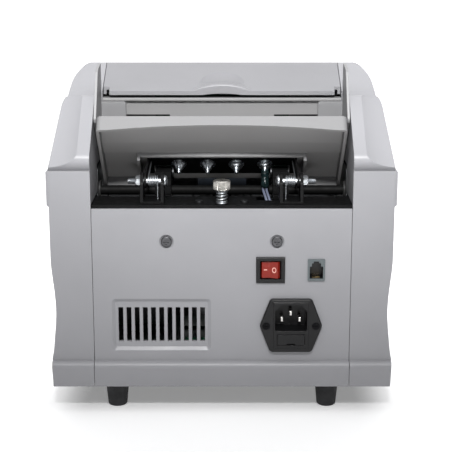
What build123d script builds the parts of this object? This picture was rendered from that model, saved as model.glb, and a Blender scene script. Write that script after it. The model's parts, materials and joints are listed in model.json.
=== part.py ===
from build123d import *
import math
import os

os.makedirs("parts", exist_ok=True)

# Banknote counting machine, millimetres.  +Z is up, the operator's side faces -Y,
# the connector side faces +Y, and the origin is on the table under the middle of the machine.

# ---------------------------------------------------------------- driving dimensions
WALL = 2.5                 # moulded plastic wall
SHEET = 2.0                # steel sheet
GAP = 0.3                  # clearance between pieces that move apart

BASE_Z = 22.6              # underside of the casing, also the height of the rubber feet
REAR_Y = 120.0             # flat part of the rear panel
SKIRT_Y = 125.0            # bull-nosed skirt round the bottom
NOSE_Z = 38.6              # centre height of that round nose
FRONT_Y = -125.0           # front of the stacker pocket
SEAM_X = 103.5             # seam between rear panel and side covers
COVER_X = 100.0            # half width of the top cover and of the hopper tray
BAND_X = 138.35            # half width over the raised side band
SIDE_X = 136.5             # half width of the side wall above the waist
WAIST_X = 133.4            # half width at the waist
SKIRT_X = 137.6            # half width of the skirt
BAND_Z = (171.0, 200.0)    # raised side band
PANEL_TOP_Z = 169.7        # top edge of the rear panel

CREST = (68.0, 253.4)      # (y, z) crest of the rear cheeks
CHEEK_NOSE = (124.0, 209.0)  # (y, z) where the cheek's slope and its undercut would meet
CHEEK_END = (117.6, 200.0)   # (y, z) lower end of that undercut
COVER_REAR = (37.0, 252.5)   # (y, z) rear edge of the top cover, before rounding
COVER_TOP = (-12.0, 274.6)   # (y, z) highest line of the top cover, before rounding
COVER_FRONT = (-100.0, 150.0)  # (y, z) front edge of the top cover
COVER_LOW_Z = 249.0        # underside of the cover's rear rim
PULL_HALF = 33.3           # finger pull in the middle of that rim: half width, top and front face
PULL_TOP_Z = 258.4
PULL_Y = 26.5
RIDGE_X = 113.5            # ridge line between cheek slope and scoop

FRAME_X = (103.6, 105.6)   # inner steel side frames
SHAFT_R = 4.0              # all driven shafts
BUSH_CLEARANCE = 0.03

HINGE = (99.0, 188.0)      # (y, z) axis of the hopper tray
SPRING_LEG = (51.3, 103.05)  # (x, y) fixed leg of each torsion spring
TRAY_RIM = (102.2, 229.8)  # (y, z) rear end of the tray's rim plane
TRAY_END = (38.0, 170.0)   # (y, z) front end of the tray's rim plane
TRAY_DEPTH = 12.0
NOTCH_X = 67.5             # half width of the recess in the tray's underside
NOTCH_U = 47.0             # start of that recess along the tray
NOTCH_WALL_N = 4.0         # rim of the low wall across the start of the recess
LIP_RISE = 1.4             # bead along the tray's rear lip

FEED = (2.4, 176.4)        # (y, z) feed shaft
RETARD = (21.0, 156.4)     # (y, z) retard roller axis
STACKER = (-40.0, 86.0)    # (y, z) stacker wheel shaft
MOTOR = (62.0, 84.0)       # (y, z) main motor
PICKUP_R = 20.0
PICKUP_U = 80.0            # where the pick-up rollers stand under the tray
FEED_R = 17.0
RETARD_R = 9.0
IMPELLER_R = 34.0
CARRIAGE_Z = (140.0, 142.0)  # plate that carries the retard rollers

GAP_SCREW = (0.0, 111.0)   # (x, y) feed-gap screw
PLATE_Z = (170.0, 172.0)   # black hopper base plate
SHELF_Z = (160.0, 162.0)   # lower step of that plate
BEAM_Y = 35.5              # rear face of the hopper front beam
BEAM_Z = (222.0, 246.8)
SLOT_Z = (230.4, 232.4)    # slots that the note guides slide in
GUIDE_TRAVEL = 30.0

SWITCH = (-39.0, 120.0)    # (x, z) power switch
JACK = (-75.5, 120.0)      # (x, z) display jack
INLET = (-55.7, 74.0)      # (x, z) mains inlet
VENT = (48.5, 74.0)        # (x, z) ventilation grille
PANEL_SCREWS_X = 44.0
PANEL_SCREWS_Z = 143.0
FOOT_XY = (86.7, 103.0)    # rubber feet, +/- x and +/- y

POST_X = 18.0              # guide pins of the retard carriage
POST_Y = (104.0,)
WINDOW_X = (41.2, 56.8)    # windows in the tray for the pick-up rollers
WINDOW_U = 67.5
STRIP_N = 1.8              # thickness of the bracket strip under the tray
ARM_X = (60.4, 62.2)       # arms of that bracket
BOLT_X = (-36.0, -12.0, 12.0, 36.0)
BOLT_U = 61.5
ROCKER_Y = REAR_Y - 2.8    # axis of the power rocker
PIN_SPOTS = ((-7.2, 4.0), (7.2, 4.0), (0.0, 9.2))  # (x, z) of the inlet pins about its middle

TRAY_LENGTH = math.dist(TRAY_RIM, TRAY_END)
TRAY_DOWN = ((TRAY_END[0] - TRAY_RIM[0]) / TRAY_LENGTH, (TRAY_END[1] - TRAY_RIM[1]) / TRAY_LENGTH)
TRAY_UP = (TRAY_DOWN[1], -TRAY_DOWN[0])


# ---------------------------------------------------------------- small helpers
def block(x0, x1, y0, y1, z0, z1):
    return Pos((x0 + x1) / 2, (y0 + y1) / 2, (z0 + z1) / 2) * Box(x1 - x0, y1 - y0, z1 - z0)


def rod_x(r, x0, x1, y, z):
    return Pos((x0 + x1) / 2, y, z) * Rot(0, 90, 0) * Cylinder(r, x1 - x0)


def rod_y(r, y0, y1, x, z):
    return Pos(x, (y0 + y1) / 2, z) * Rot(90, 0, 0) * Cylinder(r, y1 - y0)


def rod_z(r, z0, z1, x, y):
    return Pos(x, y, (z0 + z1) / 2) * Cylinder(r, z1 - z0)


def outline(*pts, radius=0.0):
    """A closed flat outline with rounded corners; radius is one value or one for each point."""
    return make_face(FilletPolyline(*pts, radius=radius, close=True))


def prism_x(face, x0, x1):
    """A (y, z) outline pushed along X."""
    return Pos(x0, 0, 0) * extrude(Plane.YZ * face, amount=x1 - x0)


def prism_y(face, y0, y1):
    """An (x, z) outline pushed along Y."""
    return Pos(0, y1, 0) * extrude(Plane.XZ * face, amount=y1 - y0)


def prism_z(face, z0, z1):
    """An (x, y) outline pushed along Z."""
    return Pos(0, 0, z0) * extrude(Plane.XY * face, amount=z1 - z0)


def both_sides(shape):
    return shape + mirror(shape, about=Plane.YZ)


def inset_outline(points, radii, inset):
    """The corners and corner radii of a closed outline moved inwards by inset."""
    count = len(points)
    area = sum(
        points[i][0] * points[(i + 1) % count][1] - points[(i + 1) % count][0] * points[i][1]
        for i in range(count)
    )
    turn = 1.0 if area > 0 else -1.0
    moved = []
    rounded = []
    for i in range(count):
        before, here, after = points[i - 1], points[i], points[(i + 1) % count]
        a = math.atan2(here[1] - before[1], here[0] - before[0])
        b = math.atan2(after[1] - here[1], after[0] - here[0])
        bend = math.remainder(b - a, 2 * math.pi)
        reach = inset / math.cos(bend / 2)
        aim = a + bend / 2 + turn * math.pi / 2
        moved.append((here[0] + reach * math.cos(aim), here[1] + reach * math.sin(aim)))
        convex = bend * turn > 0
        rounded.append(max(radii[i] - inset, 0.0) if convex else (radii[i] + inset if radii[i] else 0.0))
    return moved, rounded


def fillet_or_keep(shape, edges, radius):
    """Rounds what can be rounded, one edge loop at a time."""
    try:
        return fillet(edges, radius)
    except Exception:
        print("a fillet of", radius, "was left out")
        return shape


def tray_point(u, n):
    """(y, z) of a point u along the tray from its rear rim and n above its rim plane."""
    y = TRAY_RIM[0] + u * TRAY_DOWN[0] + n * TRAY_UP[0]
    z = TRAY_RIM[1] + u * TRAY_DOWN[1] + n * TRAY_UP[1]
    return (y, z)


def tray_quad(x0, x1, u0, u1, n0, n1):
    """A block in the tray's own tilted directions."""
    face = outline(tray_point(u0, n0), tray_point(u1, n0), tray_point(u1, n1), tray_point(u0, n1))
    return prism_x(face, x0, x1)


PICKUP = tray_point(PICKUP_U, TRAY_DEPTH + 1.0 - PICKUP_R)  # (y, z) pick-up shaft


# ---------------------------------------------------------------- casing
def rear_line(bottom, inset=0.0):
    """Edges of the casing's rear outline in (y, z): flat panel, round nose of the skirt, skirt."""
    nose_r = SKIRT_Y - REAR_Y - inset
    top_z = BAND_Z[1] - inset
    flat = REAR_Y - inset
    edges = [Line((flat, top_z), (flat, NOSE_Z + nose_r))]
    if inset > 0:
        edges.append(Line((flat, NOSE_Z + nose_r), (REAR_Y, NOSE_Z + nose_r)))
    nose = ThreePointArc(
        (REAR_Y, NOSE_Z + nose_r),
        (REAR_Y + nose_r * math.sin(math.pi / 4), NOSE_Z + nose_r * math.cos(math.pi / 4)),
        (REAR_Y + nose_r, NOSE_Z),
    )
    skirt = Line((REAR_Y + nose_r, NOSE_Z), (REAR_Y + nose_r - 0.9, bottom))
    return edges + [nose, skirt]


def casing_silhouette(bottom, inset=0.0):
    """The side covers' outline seen from the side, in (y, z), moved inwards by inset."""
    points = [
        (SKIRT_Y, bottom - 10.0),
        (FRONT_Y, bottom - 10.0),
        (FRONT_Y, 112.0),
        (-113.0, 138.0),
        COVER_FRONT,
        COVER_TOP,
        COVER_REAR,
        (42.0, 249.0),
        (56.0, 249.0),
        CREST,
        CHEEK_NOSE,
        CHEEK_END,
        (REAR_Y, BAND_Z[1]),
    ]
    radii = [0, 0, 10.0, 6.0, 14.0, 12.0, 3.0, 3.0, 4.0, 4.0, 8.0, 0, 0]
    points, radii = inset_outline(points, radii, inset)
    start = (SKIRT_Y - inset - 0.9, bottom)
    front = (FRONT_Y + inset, bottom)
    end = (REAR_Y - inset, BAND_Z[1] - inset)
    upper = FilletPolyline(start, front, *points[2:-1], end, radius=[0] + radii[2:-1])
    return make_face(rear_line(bottom, inset) + [upper])


def side_section(bottom, top_corner, top_z, corner_r, inset):
    """A side cover's outline seen from the rear, in (x, z), its wall moved inwards by inset."""
    inner = 80.0
    wave = Spline(
        (SKIRT_X - inset, 45.0),
        (WAIST_X + 1.7 - inset, 62.0),
        (WAIST_X - inset, 84.0),
        (WAIST_X + 1.6 - inset, 110.0),
        (SIDE_X - inset, 131.0),
        tangents=[(-0.25, 1), (0, 1)],
    )
    skirt = Polyline((inner, bottom), (SKIRT_X - 0.7 - inset, bottom), (SKIRT_X - inset, 45.0))
    shoulder = FilletPolyline(
        (SIDE_X - inset, 131.0),
        (SIDE_X - inset, BAND_Z[1]),
        (top_corner - inset, top_z - inset),
        (inner, top_z - inset),
        (inner, bottom),
        radius=[3.0, corner_r, 0],
    )
    return make_face([skirt, wave, shoulder])


def scoop(inset):
    """The hollow outboard of the ridge line, pushed along the cheek slope."""
    length = math.dist(CREST, CHEEK_NOSE)
    slope = ((CREST[0] - CHEEK_NOSE[0]) / length, (CREST[1] - CHEEK_NOSE[1]) / length)
    frame = Plane(origin=(0, CREST[0], CREST[1]), x_dir=(1, 0, 0), z_dir=(0, slope[0], slope[1]))
    curve = ThreePointArc((RIDGE_X, 0), (RIDGE_X + 10.8, -4.9), (RIDGE_X + 22.5, -7.3))
    rest = Polyline(
        (RIDGE_X + 22.5, -7.3),
        (RIDGE_X + 42.5, -9.0),
        (RIDGE_X + 42.5, 30),
        (RIDGE_X, 30),
        (RIDGE_X, 0),
    )
    face = make_face([curve, rest])
    tool = extrude(frame * face, amount=100) + extrude(frame * face, amount=-100)
    return Pos(-inset * 0.6, -inset * slope[1], inset * slope[0]) * tool


def envelope(inset):
    """The solid that fills a side cover, its walls moved inwards by inset."""
    bottom = BASE_Z if inset == 0 else BASE_Z - 20
    body = prism_x(casing_silhouette(bottom, inset), 80.0, 150.0)
    split = 58.0
    cheek = prism_y(side_section(bottom, 129.4, 256.0, 14.0, inset), split, 130.0)
    shoulder = prism_y(side_section(bottom, 125.0, 272.0, 18.0, inset), -130.0, split)
    return (body & (cheek + shoulder)) - scoop(inset)


def round_upright_edges(solid):
    """Rounds the outer corners at the back and front of a side cover's envelope."""
    edges = solid.edges().filter_by(lambda e: e.center().X > 131.0 and abs(e.center().Y) > 117.0)
    edges = edges.filter_by(lambda e: abs(e.tangent_at(0.5).Z) > 0.6 and e.center().Z < BAND_Z[1])
    return fillet_or_keep(solid, edges, 2.5)


def side_cover():
    """The cover on the +X side; the other one is its mirror image."""
    inner_edge = COVER_X + 0.4
    rear_zone = block(SEAM_X, 150.0, 36.9, 130.0, 0.0, 300.0)
    front_zone = block(inner_edge, 150.0, -130.0, 36.9, 0.0, 300.0)
    full = round_upright_edges(envelope(0.0))
    shell = (full & (rear_zone + front_zone)) - envelope(WALL)

    cheek_wall = prism_x(
        outline((118.0, 172.6), (64.0, 172.6), (64.0, 195.0), (26.0, 195.0), (26.0, 290.0), (118.0, 290.0)),
        SEAM_X,
        SEAM_X + WALL,
    )
    shell += cheek_wall & full

    edge_strip = prism_x(casing_silhouette(BASE_Z), inner_edge, inner_edge + WALL)
    edge_strip -= prism_x(casing_silhouette(BASE_Z, 8.0), inner_edge - 1, 110.0)
    edge_strip &= block(90.0, 110.0, -115.0, 36.9, 139.0, 300.0)
    shell += edge_strip

    pocket_wall = block(inner_edge, inner_edge + WALL, -124.0, -48.6, 30.0, 160.0) & full
    shell += pocket_wall

    band = prism_y(
        outline(
            (SIDE_X - 1.5, BAND_Z[0] - 1.2),
            (BAND_X, BAND_Z[0] + 1.6),
            (BAND_X, BAND_Z[1] - 0.8),
            (BAND_X - 0.8, BAND_Z[1]),
            (SIDE_X - 2.0, BAND_Z[1]),
            radius=[0, 0.8, 0, 0, 0],
        ),
        FRONT_Y,
        REAR_Y - 1.0,
    )
    shell += band & prism_x(casing_silhouette(BASE_Z), 80.0, 150.0)

    for y in (-84.0, 0.0, 84.0):
        boss = rod_z(4.5, BASE_Z + SHEET + 0.05, 48.0, 124.0, y)
        rib = block(124.0, 134.6, y - 1.2, y + 1.2, BASE_Z + SHEET + 0.05, 48.0)
        shell += (boss + rib) & full
        shell -= rod_z(1.4, BASE_Z, 44.0, 124.0, y)

    hinge_pin = rod_x(2.5, 95.5, inner_edge + 0.5, COVER_FRONT[0] + 9.0, COVER_FRONT[1] - 1.5)
    shell += hinge_pin
    return shell


def rear_slab():
    """The casing's rear outline from the bottom edge to the top edge of the panel, as a wall."""
    back = make_face(
        rear_line(BASE_Z)
        + [Polyline((SKIRT_Y - 0.9, BASE_Z), (90.0, BASE_Z), (90.0, BAND_Z[1]), (REAR_Y, BAND_Z[1]))]
    )
    half = SEAM_X - 0.35
    slab = prism_x(back, -half, half)
    slab -= Pos(0, -WALL, -1.5) * prism_x(back, -half - 1, half + 1)
    slab &= block(-120, 120, 100.0, 130.0, BASE_Z, PANEL_TOP_Z)
    return slab


def rear_panel():
    panel = rear_slab()

    pocket_w, pocket_h, pocket_depth = 79.8, 43.4, 1.8
    x, z = VENT
    backing = block(x - 41, x + 41, 115.0, 118.0, z - 22.5, z + 22.5)
    panel += backing
    wide = Plane(origin=(x, REAR_Y + pocket_depth, z), x_dir=(-1, 0, 0), z_dir=(0, -1, 0))
    mouth = loft([
        wide * RectangleRounded(pocket_w + 5.4, pocket_h + 5.4, 4.4),
        wide.offset(2 * pocket_depth) * RectangleRounded(pocket_w - 5.4, pocket_h - 5.4, 1.6),
    ])
    panel -= mouth
    for i in range(11):
        slot_x = x + (i - 5) * 6.6
        slot = prism_y(
            outline(
                (slot_x - 1.95, z - 14.6), (slot_x + 1.95, z - 14.6),
                (slot_x + 1.95, z + 14.2), (slot_x - 1.95, z + 14.2),
                radius=0.5,
            ),
            105.0,
            130.0,
        )
        panel -= slot

    x, z = SWITCH
    panel -= block(x - 10.0, x + 10.0, 100.0, 130.0, z - 8.6, z + 8.6)
    x, z = JACK
    panel -= block(x - 6.3, x + 6.3, 100.0, 130.0, z - 8.3, z + 8.3)
    x, z = INLET
    panel -= block(x - 14.4, x + 14.4, 100.0, 130.0, z - 18.2, z + 20.2)
    for dx in (-20.0, 20.0):
        panel -= rod_y(1.6, 100.0, 130.0, x + dx, z)
    for sx in (-PANEL_SCREWS_X, PANEL_SCREWS_X):
        panel -= rod_y(2.1, 100.0, 130.0, sx, PANEL_SCREWS_Z)
        panel -= Pos(sx, REAR_Y - 0.6, PANEL_SCREWS_Z) * Rot(90, 0, 0) * Cone(6.0, 4.5, 1.4)
    return panel


def base_plate():
    """Steel tray floor with low upturned edges."""
    half_x, front, rear = 131.0, -119.0, 116.0
    plate = block(-half_x, half_x, front, rear, BASE_Z, BASE_Z + SHEET)
    for y in (-84.0, 0.0, 84.0):
        for x in (-124.0, 124.0):
            plate -= rod_z(2.0, BASE_Z - 5, BASE_Z + 5, x, y)
    for x in (-FOOT_XY[0], FOOT_XY[0]):
        for y in (-FOOT_XY[1], FOOT_XY[1]):
            plate -= rod_z(2.2, BASE_Z - 5, BASE_Z + 5, x, y)
    lip = block(-95.0, 95.0, rear - SHEET, rear, BASE_Z + SHEET, BASE_Z + 12)
    return plate + lip


def rubber_feet():
    profile = make_face([
        Polyline(
            (0, 0), (7.0, 0), (7.9, 0.9), (9.9, BASE_Z),
            (2.2, BASE_Z), (2.2, BASE_Z - 4), (0, BASE_Z - 4), (0, 0),
        )
    ])
    one = revolve(Plane.XZ * profile, Axis.Z)
    feet = [Pos(x, y, 0) * one for x in (-FOOT_XY[0], FOOT_XY[0]) for y in (-FOOT_XY[1], FOOT_XY[1])]
    return Compound(children=feet)


def casing_screws():
    """Screws that hold the feet and the two side covers to the base plate."""
    screws = []
    top = BASE_Z + SHEET
    for x in (-FOOT_XY[0], FOOT_XY[0]):
        for y in (-FOOT_XY[1], FOOT_XY[1]):
            screws.append(rod_z(1.9, BASE_Z - 3.5, top, x, y) + rod_z(3.8, top, top + 2.4, x, y))
    for x in (-124.0, 124.0):
        for y in (-84.0, 0.0, 84.0):
            shank = rod_z(1.35, BASE_Z - 0.2, BASE_Z + 16, x, y)
            screws.append(shank + rod_z(3.4, BASE_Z - 2.2, BASE_Z, x, y))
    return Compound(children=screws)


def rear_panel_screws():
    screws = []
    for x in (-PANEL_SCREWS_X, PANEL_SCREWS_X):
        head = rod_y(4.3, REAR_Y - 1.0, REAR_Y + 0.9, x, PANEL_SCREWS_Z)
        head = fillet_or_keep(head, head.edges().filter_by(GeomType.CIRCLE).group_by(Axis.Y)[-1], 0.8)
        cross = block(x - 2.3, x + 2.3, REAR_Y - 0.3, REAR_Y + 2, PANEL_SCREWS_Z - 0.45, PANEL_SCREWS_Z + 0.45)
        cross += block(x - 0.45, x + 0.45, REAR_Y - 0.3, REAR_Y + 2, PANEL_SCREWS_Z - 2.3, PANEL_SCREWS_Z + 2.3)
        screws.append(head - cross + rod_y(1.9, 111.0, REAR_Y - 1.0, x, PANEL_SCREWS_Z))
    return Compound(children=screws)


# ---------------------------------------------------------------- stacker
def stacker_tray():
    """Pocket floor and low front wall between the side covers."""
    half = COVER_X + 0.1
    profile = outline(
        (-124.4, BASE_Z + 0.4), (-124.9, 38.0), (-122.0, 43.0), (-54.0, 52.0),
        (-54.0, 49.4), (-120.0, 40.6), (-122.4, 37.0), (-122.0, BASE_Z + 0.4),
        radius=[0, 2.5, 2.5, 0, 0, 0.5, 0.5, 0],
    )
    tray = prism_x(profile, -half, half)
    thumb = Pos(0, -128.0, 44.0) * Cylinder(24.0, 40.0)
    return tray - thumb


def stacker_back_plate():
    """Folded plate: a curved wall behind the notes, slotted for the wheels, and the pocket's roof."""
    half = COVER_X + 0.1
    curve = ThreePointArc((-51.0, 50.0), (-47.5, 92.0), (-56.0, 137.0))
    inner = ThreePointArc((-49.0, 50.0), (-45.5, 92.0), (-54.0, 137.0))
    face = make_face([curve, Line((-56.0, 137.0), (-54.0, 137.0)), inner, Line((-49.0, 50.0), (-51.0, 50.0))])
    plate = prism_x(face, -half, half)
    for x in (-26.0, 26.0):
        plate -= block(x - 8.5, x + 8.5, -70.0, -30.0, 54.0, 126.0)
    roof = outline((-101.0, 135.5), (-54.0, 133.0), (-54.0, 135.0), (-101.0, 137.5))
    return plate + prism_x(roof, -half, half)


# ---------------------------------------------------------------- frame
def frame_plate():
    """Inner steel side frame on the +X side."""
    profile = outline(
        (112.0, BASE_Z + SHEET), (112.0, 168.0), (64.0, 168.0), (58.0, 192.0), (24.0, 193.5),
        (-10.0, 205.0), (-42.0, 165.0), (-44.0, BASE_Z + SHEET),
        radius=[0, 3, 3, 6, 6, 12, 6, 0],
    )
    plate = prism_x(profile, FRAME_X[0], FRAME_X[1])
    foot = block(FRAME_X[0] - 10, FRAME_X[0], -40.0, 40.0, BASE_Z + SHEET, BASE_Z + SHEET + SHEET)
    plate += foot
    hole_r = 6.0
    for y, z in (PICKUP, FEED, STACKER):
        plate -= rod_x(hole_r, 90.0, 120.0, y, z)
    for y, z in TIE_RODS:
        plate -= rod_x(2.0, 90.0, 120.0, y, z)
    return plate


TIE_RODS = ((104.0, 50.0), (-36.0, 145.0), (-8.0, 197.0), (10.0, 118.0))


def left_frame_plate():
    return mirror(frame_plate(), about=Plane.YZ)


def right_frame_plate():
    plate = frame_plate()
    plate -= rod_x(9.2, 90.0, 120.0, MOTOR[0], MOTOR[1])
    for angle in (45, 135, 225, 315):
        y = MOTOR[0] + 19.0 * math.cos(math.radians(angle))
        z = MOTOR[1] + 19.0 * math.sin(math.radians(angle))
        plate -= rod_x(1.6, 90.0, 120.0, y, z)
    return plate


def frame_tie_rods():
    rods = []
    for y, z in TIE_RODS:
        rod = rod_x(4.0, -FRAME_X[0], FRAME_X[0], y, z)
        ends = rod_x(1.95, -FRAME_X[1], FRAME_X[1], y, z)
        heads = both_sides(rod_x(3.8, FRAME_X[1], FRAME_X[1] + 2.4, y, z))
        rods.append(rod + ends + heads)
    return Compound(children=rods)


def hopper_base_plate():
    """Black folded plate under the hopper: upper deck, step down, rear and side flanges."""
    half = FRAME_X[0]
    deck = block(-half + 0.2, half - 0.2, 83.0, 117.3, *PLATE_Z)
    riser = block(-half + 0.2, half - 0.2, 83.0, 85.0, SHELF_Z[0], PLATE_Z[1])
    shelf = block(-half + 0.2, half - 0.2, 58.5, 85.0, *SHELF_Z)
    rear = block(-half + 4, half - 4, 115.4, 117.4, 132.0, PLATE_Z[1])
    plate = deck + riser + shelf + rear
    plate += both_sides(block(half - SHEET, half, 60.0, 111.0, 148.0, SHELF_Z[0]))
    plate += both_sides(block(half - SHEET, half - 0.2, 60.0, 117.3, SHELF_Z[0], SHELF_Z[1]))
    plate += both_sides(block(half - SHEET, half - 0.2, 85.0, 117.3, SHELF_Z[0], PLATE_Z[1]))
    plate -= block(-50.0, -28.0, 55.0, 98.0, 158.0, 175.0)
    plate -= both_sides(block(WINDOW_X[0] - 1, WINDOW_X[1] + 1, 55.0, 72.0, 158.0, 164.0))
    plate -= block(-8.0, 8.0, 114.0, 119.0, 130.0, 166.0)
    plate -= rod_z(2.6, 160.0, 175.0, *GAP_SCREW)
    for x in (-SPRING_LEG[0], SPRING_LEG[0]):
        plate -= rod_z(1.1, 160.0, 175.0, x, SPRING_LEG[1])
    for x in (-PANEL_SCREWS_X, PANEL_SCREWS_X):
        plate -= rod_y(1.95, 110.0, 120.0, x, PANEL_SCREWS_Z)
    for x in (-POST_X, POST_X):
        for y in POST_Y:
            plate -= rod_z(2.0, 155.0, 175.0, x, y)
    return plate


def carriage_guide_posts():
    """Pins under the hopper base plate that keep the retard carriage square."""
    posts = []
    for x in (-POST_X, POST_X):
        for y in POST_Y:
            stem = rod_z(3.0, 134.0, PLATE_Z[0], x, y)
            neck = rod_z(1.95, PLATE_Z[0], PLATE_Z[1], x, y)
            head = rod_z(3.2, PLATE_Z[1], PLATE_Z[1] + 1.4, x, y)
            posts.append(stem + neck + head)
    return Compound(children=posts)


# ---------------------------------------------------------------- hopper
def hopper_front_beam():
    """Wall in front of the note stack, with a top ledge and two guide slots."""
    half = COVER_X + 0.1
    wall = block(-half, half, BEAM_Y - WALL, BEAM_Y, BEAM_Z[0], BEAM_Z[1])
    ledge = block(-half, half, 29.0, 38.6, BEAM_Z[1] - 2.5, BEAM_Z[1])
    lower = block(-half, half, 27.0, BEAM_Y, BEAM_Z[0], BEAM_Z[0] + 2.5)
    beam = wall + ledge + lower
    beam = fillet_or_keep(beam, beam.edges().filter_by(Axis.X).group_by(Axis.Y)[-1], 0.7)
    slot = block(44.0, half + 1, 30.0, 40.0, SLOT_Z[0], SLOT_Z[1])
    beam -= both_sides(slot)
    return beam


def note_guide():
    """Hopper side guide on the +X side: a thin plate on a foot that slides along the beam."""
    clear = 1.5
    top_n = TRAY_DEPTH + clear

    def above_notes(y):
        """z of the guide's lower edge, parallel to the tray."""
        u = (y - TRAY_RIM[0] - top_n * TRAY_UP[0]) / TRAY_DOWN[0]
        return tray_point(u, top_n)[1]

    plate = prism_x(
        outline(
            (39.0, above_notes(39.0)), (86.0, above_notes(86.0)), (87.0, above_notes(86.0) + 3.0),
            (63.0, 272.6), (39.0, 276.2),
            radius=[2.0, 1.0, 3.0, 4.0, 2.0],
        ),
        101.0,
        103.0,
    )
    foot = block(80.6, 100.2, BEAM_Y + 0.3, 41.0, 228.6, BEAM_Z[1] - 2.5 - 0.3)
    foot = fillet_or_keep(foot, foot.edges().filter_by(Axis.Y).group_by(Axis.X)[0].sort_by(Axis.Z)[-1], 2.0)
    foot += block(99.0, 102.0, 38.9, 41.0, 228.6, BEAM_Z[1] - 2.5 - 0.3)
    lug = block(84.0, 98.0, BEAM_Y - WALL - 0.4, BEAM_Y + 0.4, SLOT_Z[0] + 0.3, SLOT_Z[1] - 0.3)
    keeper = block(84.0, 98.0, BEAM_Y - WALL - 3.0, BEAM_Y - WALL - 0.35, SLOT_Z[0] - 3.0, SLOT_Z[1] + 3.0)
    return plate + foot + lug + keeper


def hopper_tray():
    """Sloping note tray: a thin skin with a rim underneath and a recess at its front middle."""
    skin_n = TRAY_DEPTH - WALL
    end = TRAY_LENGTH
    tray = tray_quad(-COVER_X, COVER_X, 0, end, 0, TRAY_DEPTH)
    tray -= tray_quad(-COVER_X + WALL, COVER_X - WALL, WALL + 0.5, end - WALL, -1, skin_n)
    wedge = outline(
        tray_point(3.5, skin_n + 0.3), tray_point(29.0, 7.0),
        tray_point(43.9, 7.0), tray_point(43.9, skin_n + 0.3),
    )
    tray += prism_x(wedge, -COVER_X + WALL - 0.5, COVER_X - WALL + 0.5)
    wall = outline(
        tray_point(43.5, skin_n + 0.3), tray_point(45.0, NOTCH_WALL_N),
        tray_point(NOTCH_U, NOTCH_WALL_N), tray_point(NOTCH_U, skin_n + 0.3),
    )
    tray += prism_x(wall, -NOTCH_X - WALL, NOTCH_X + WALL)
    tray += both_sides(tray_quad(NOTCH_X, NOTCH_X + WALL, NOTCH_U - 2.0, end - 1, 0, skin_n + 0.5))
    tray -= tray_quad(-NOTCH_X, NOTCH_X, NOTCH_U, end + 1, -1, skin_n)
    tray -= both_sides(tray_quad(WINDOW_X[0], WINDOW_X[1], WINDOW_U, end + 1, skin_n - 1, TRAY_DEPTH + 1))

    half_arch = 92.0
    rise = 4.8
    radius = (half_arch ** 2 + rise ** 2) / (2 * rise)
    lip_plane = Plane(
        origin=(0, TRAY_RIM[0], TRAY_RIM[1]),
        x_dir=(1, 0, 0),
        z_dir=(0, -TRAY_DOWN[0], -TRAY_DOWN[1]),
    )
    arch = Pos(0, radius * TRAY_UP[0], radius * TRAY_UP[1])
    bow = make_face([
        ThreePointArc((-half_arch, 0), (0, rise), (half_arch, 0)),
        Line((half_arch, 0), (-half_arch, 0)),
    ])
    tray -= extrude(flat_on(lip_plane) * bow, amount=WALL + 0.6, both=True)
    tray = round_tray_corners(tray)
    bead = round_tray_corners(tray_quad(-COVER_X, COVER_X, 0, 20.0, TRAY_DEPTH - 0.2, TRAY_DEPTH + LIP_RISE))
    return tray + (bead & tray_quad(-COVER_X - 1, COVER_X + 1, -1, 3.0, 0, 20.0))


def round_tray_corners(solid):
    """Rounds the corners of a piece as wide as the tray, seen square on to the tray."""
    corners = solid.edges().filter_by(lambda e: abs(e.tangent_at(0.5).dot(Vector(0, *TRAY_UP))) > 0.99)
    corners = corners.filter_by(lambda e: abs(abs(e.center().X) - COVER_X) < 0.1)
    return fillet_or_keep(solid, corners, 4.0)


def flat_on(plane):
    """The same plane with its second direction pointing up through the tray."""
    up = Vector(0, *TRAY_UP)
    if plane.y_dir.dot(up) < 0:
        return Plane(origin=plane.origin, x_dir=-plane.x_dir, z_dir=plane.z_dir)
    return plane


def tray_bracket():
    """Black strip under the tray with an arm at each end that turns on the hinge bolt."""
    skin_n = TRAY_DEPTH - WALL
    low = skin_n - STRIP_N
    strip = tray_quad(-ARM_X[1], ARM_X[1], 53.0, 77.0, low, skin_n)
    window = tray_quad(WINDOW_X[0] - 0.5, WINDOW_X[1] + 0.5, WINDOW_U - 3, 78.0, low - 1, skin_n + 1)
    strip -= both_sides(window)
    y, z = HINGE
    root_top = tray_point(53.0, low + 0.2)
    root_low = tray_point(70.0, low + 0.2)
    arm = prism_x(
        outline(
            root_top, (78.0, 197.0), (y - 1, z + 6.0), (y + 3, z),
            (y - 1, z - 6.0), (70.0, 181.5), root_low,
        ),
        *ARM_X,
    )
    arm += rod_x(6.0, ARM_X[0], ARM_X[1], y, z)
    arm -= rod_x(2.5 + BUSH_CLEARANCE, 50.0, 70.0, y, z)
    bracket = strip + both_sides(arm)
    for x in BOLT_X:
        bracket -= bolt_hole(x, 2.05)
    return bracket


def bolt_frame(x, n):
    """A plane on the tray's underside with its normal pointing down out of it."""
    y, z = tray_point(BOLT_U, n)
    return Plane(origin=(x, y, z), x_dir=(1, 0, 0), z_dir=(0, -TRAY_UP[0], -TRAY_UP[1]))


def bolt_hole(x, r):
    return extrude(bolt_frame(x, TRAY_DEPTH) * Circle(r), amount=12.0)


def nut_body(x):
    """Flange, cone and tip of one nut on the strip."""
    frame = bolt_frame(x, TRAY_DEPTH - WALL - STRIP_N)
    flange = extrude(frame * Circle(6.6), amount=1.2)
    cone = loft([frame.offset(1.2) * Circle(5.6), frame.offset(6.4) * Circle(2.6)])
    tip = extrude(frame.offset(6.4) * Circle(1.9), amount=3.4)
    return flange + cone + tip


def bracket_bolts():
    """Flanged cone nuts on screws, which hold the strip under the tray."""
    frame_n = TRAY_DEPTH - WALL
    bolts = []
    for x in BOLT_X:
        shank = extrude(bolt_frame(x, frame_n) * Circle(2.0), amount=STRIP_N)
        bolts.append(nut_body(x) + shank)
    return Compound(children=bolts)


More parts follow.
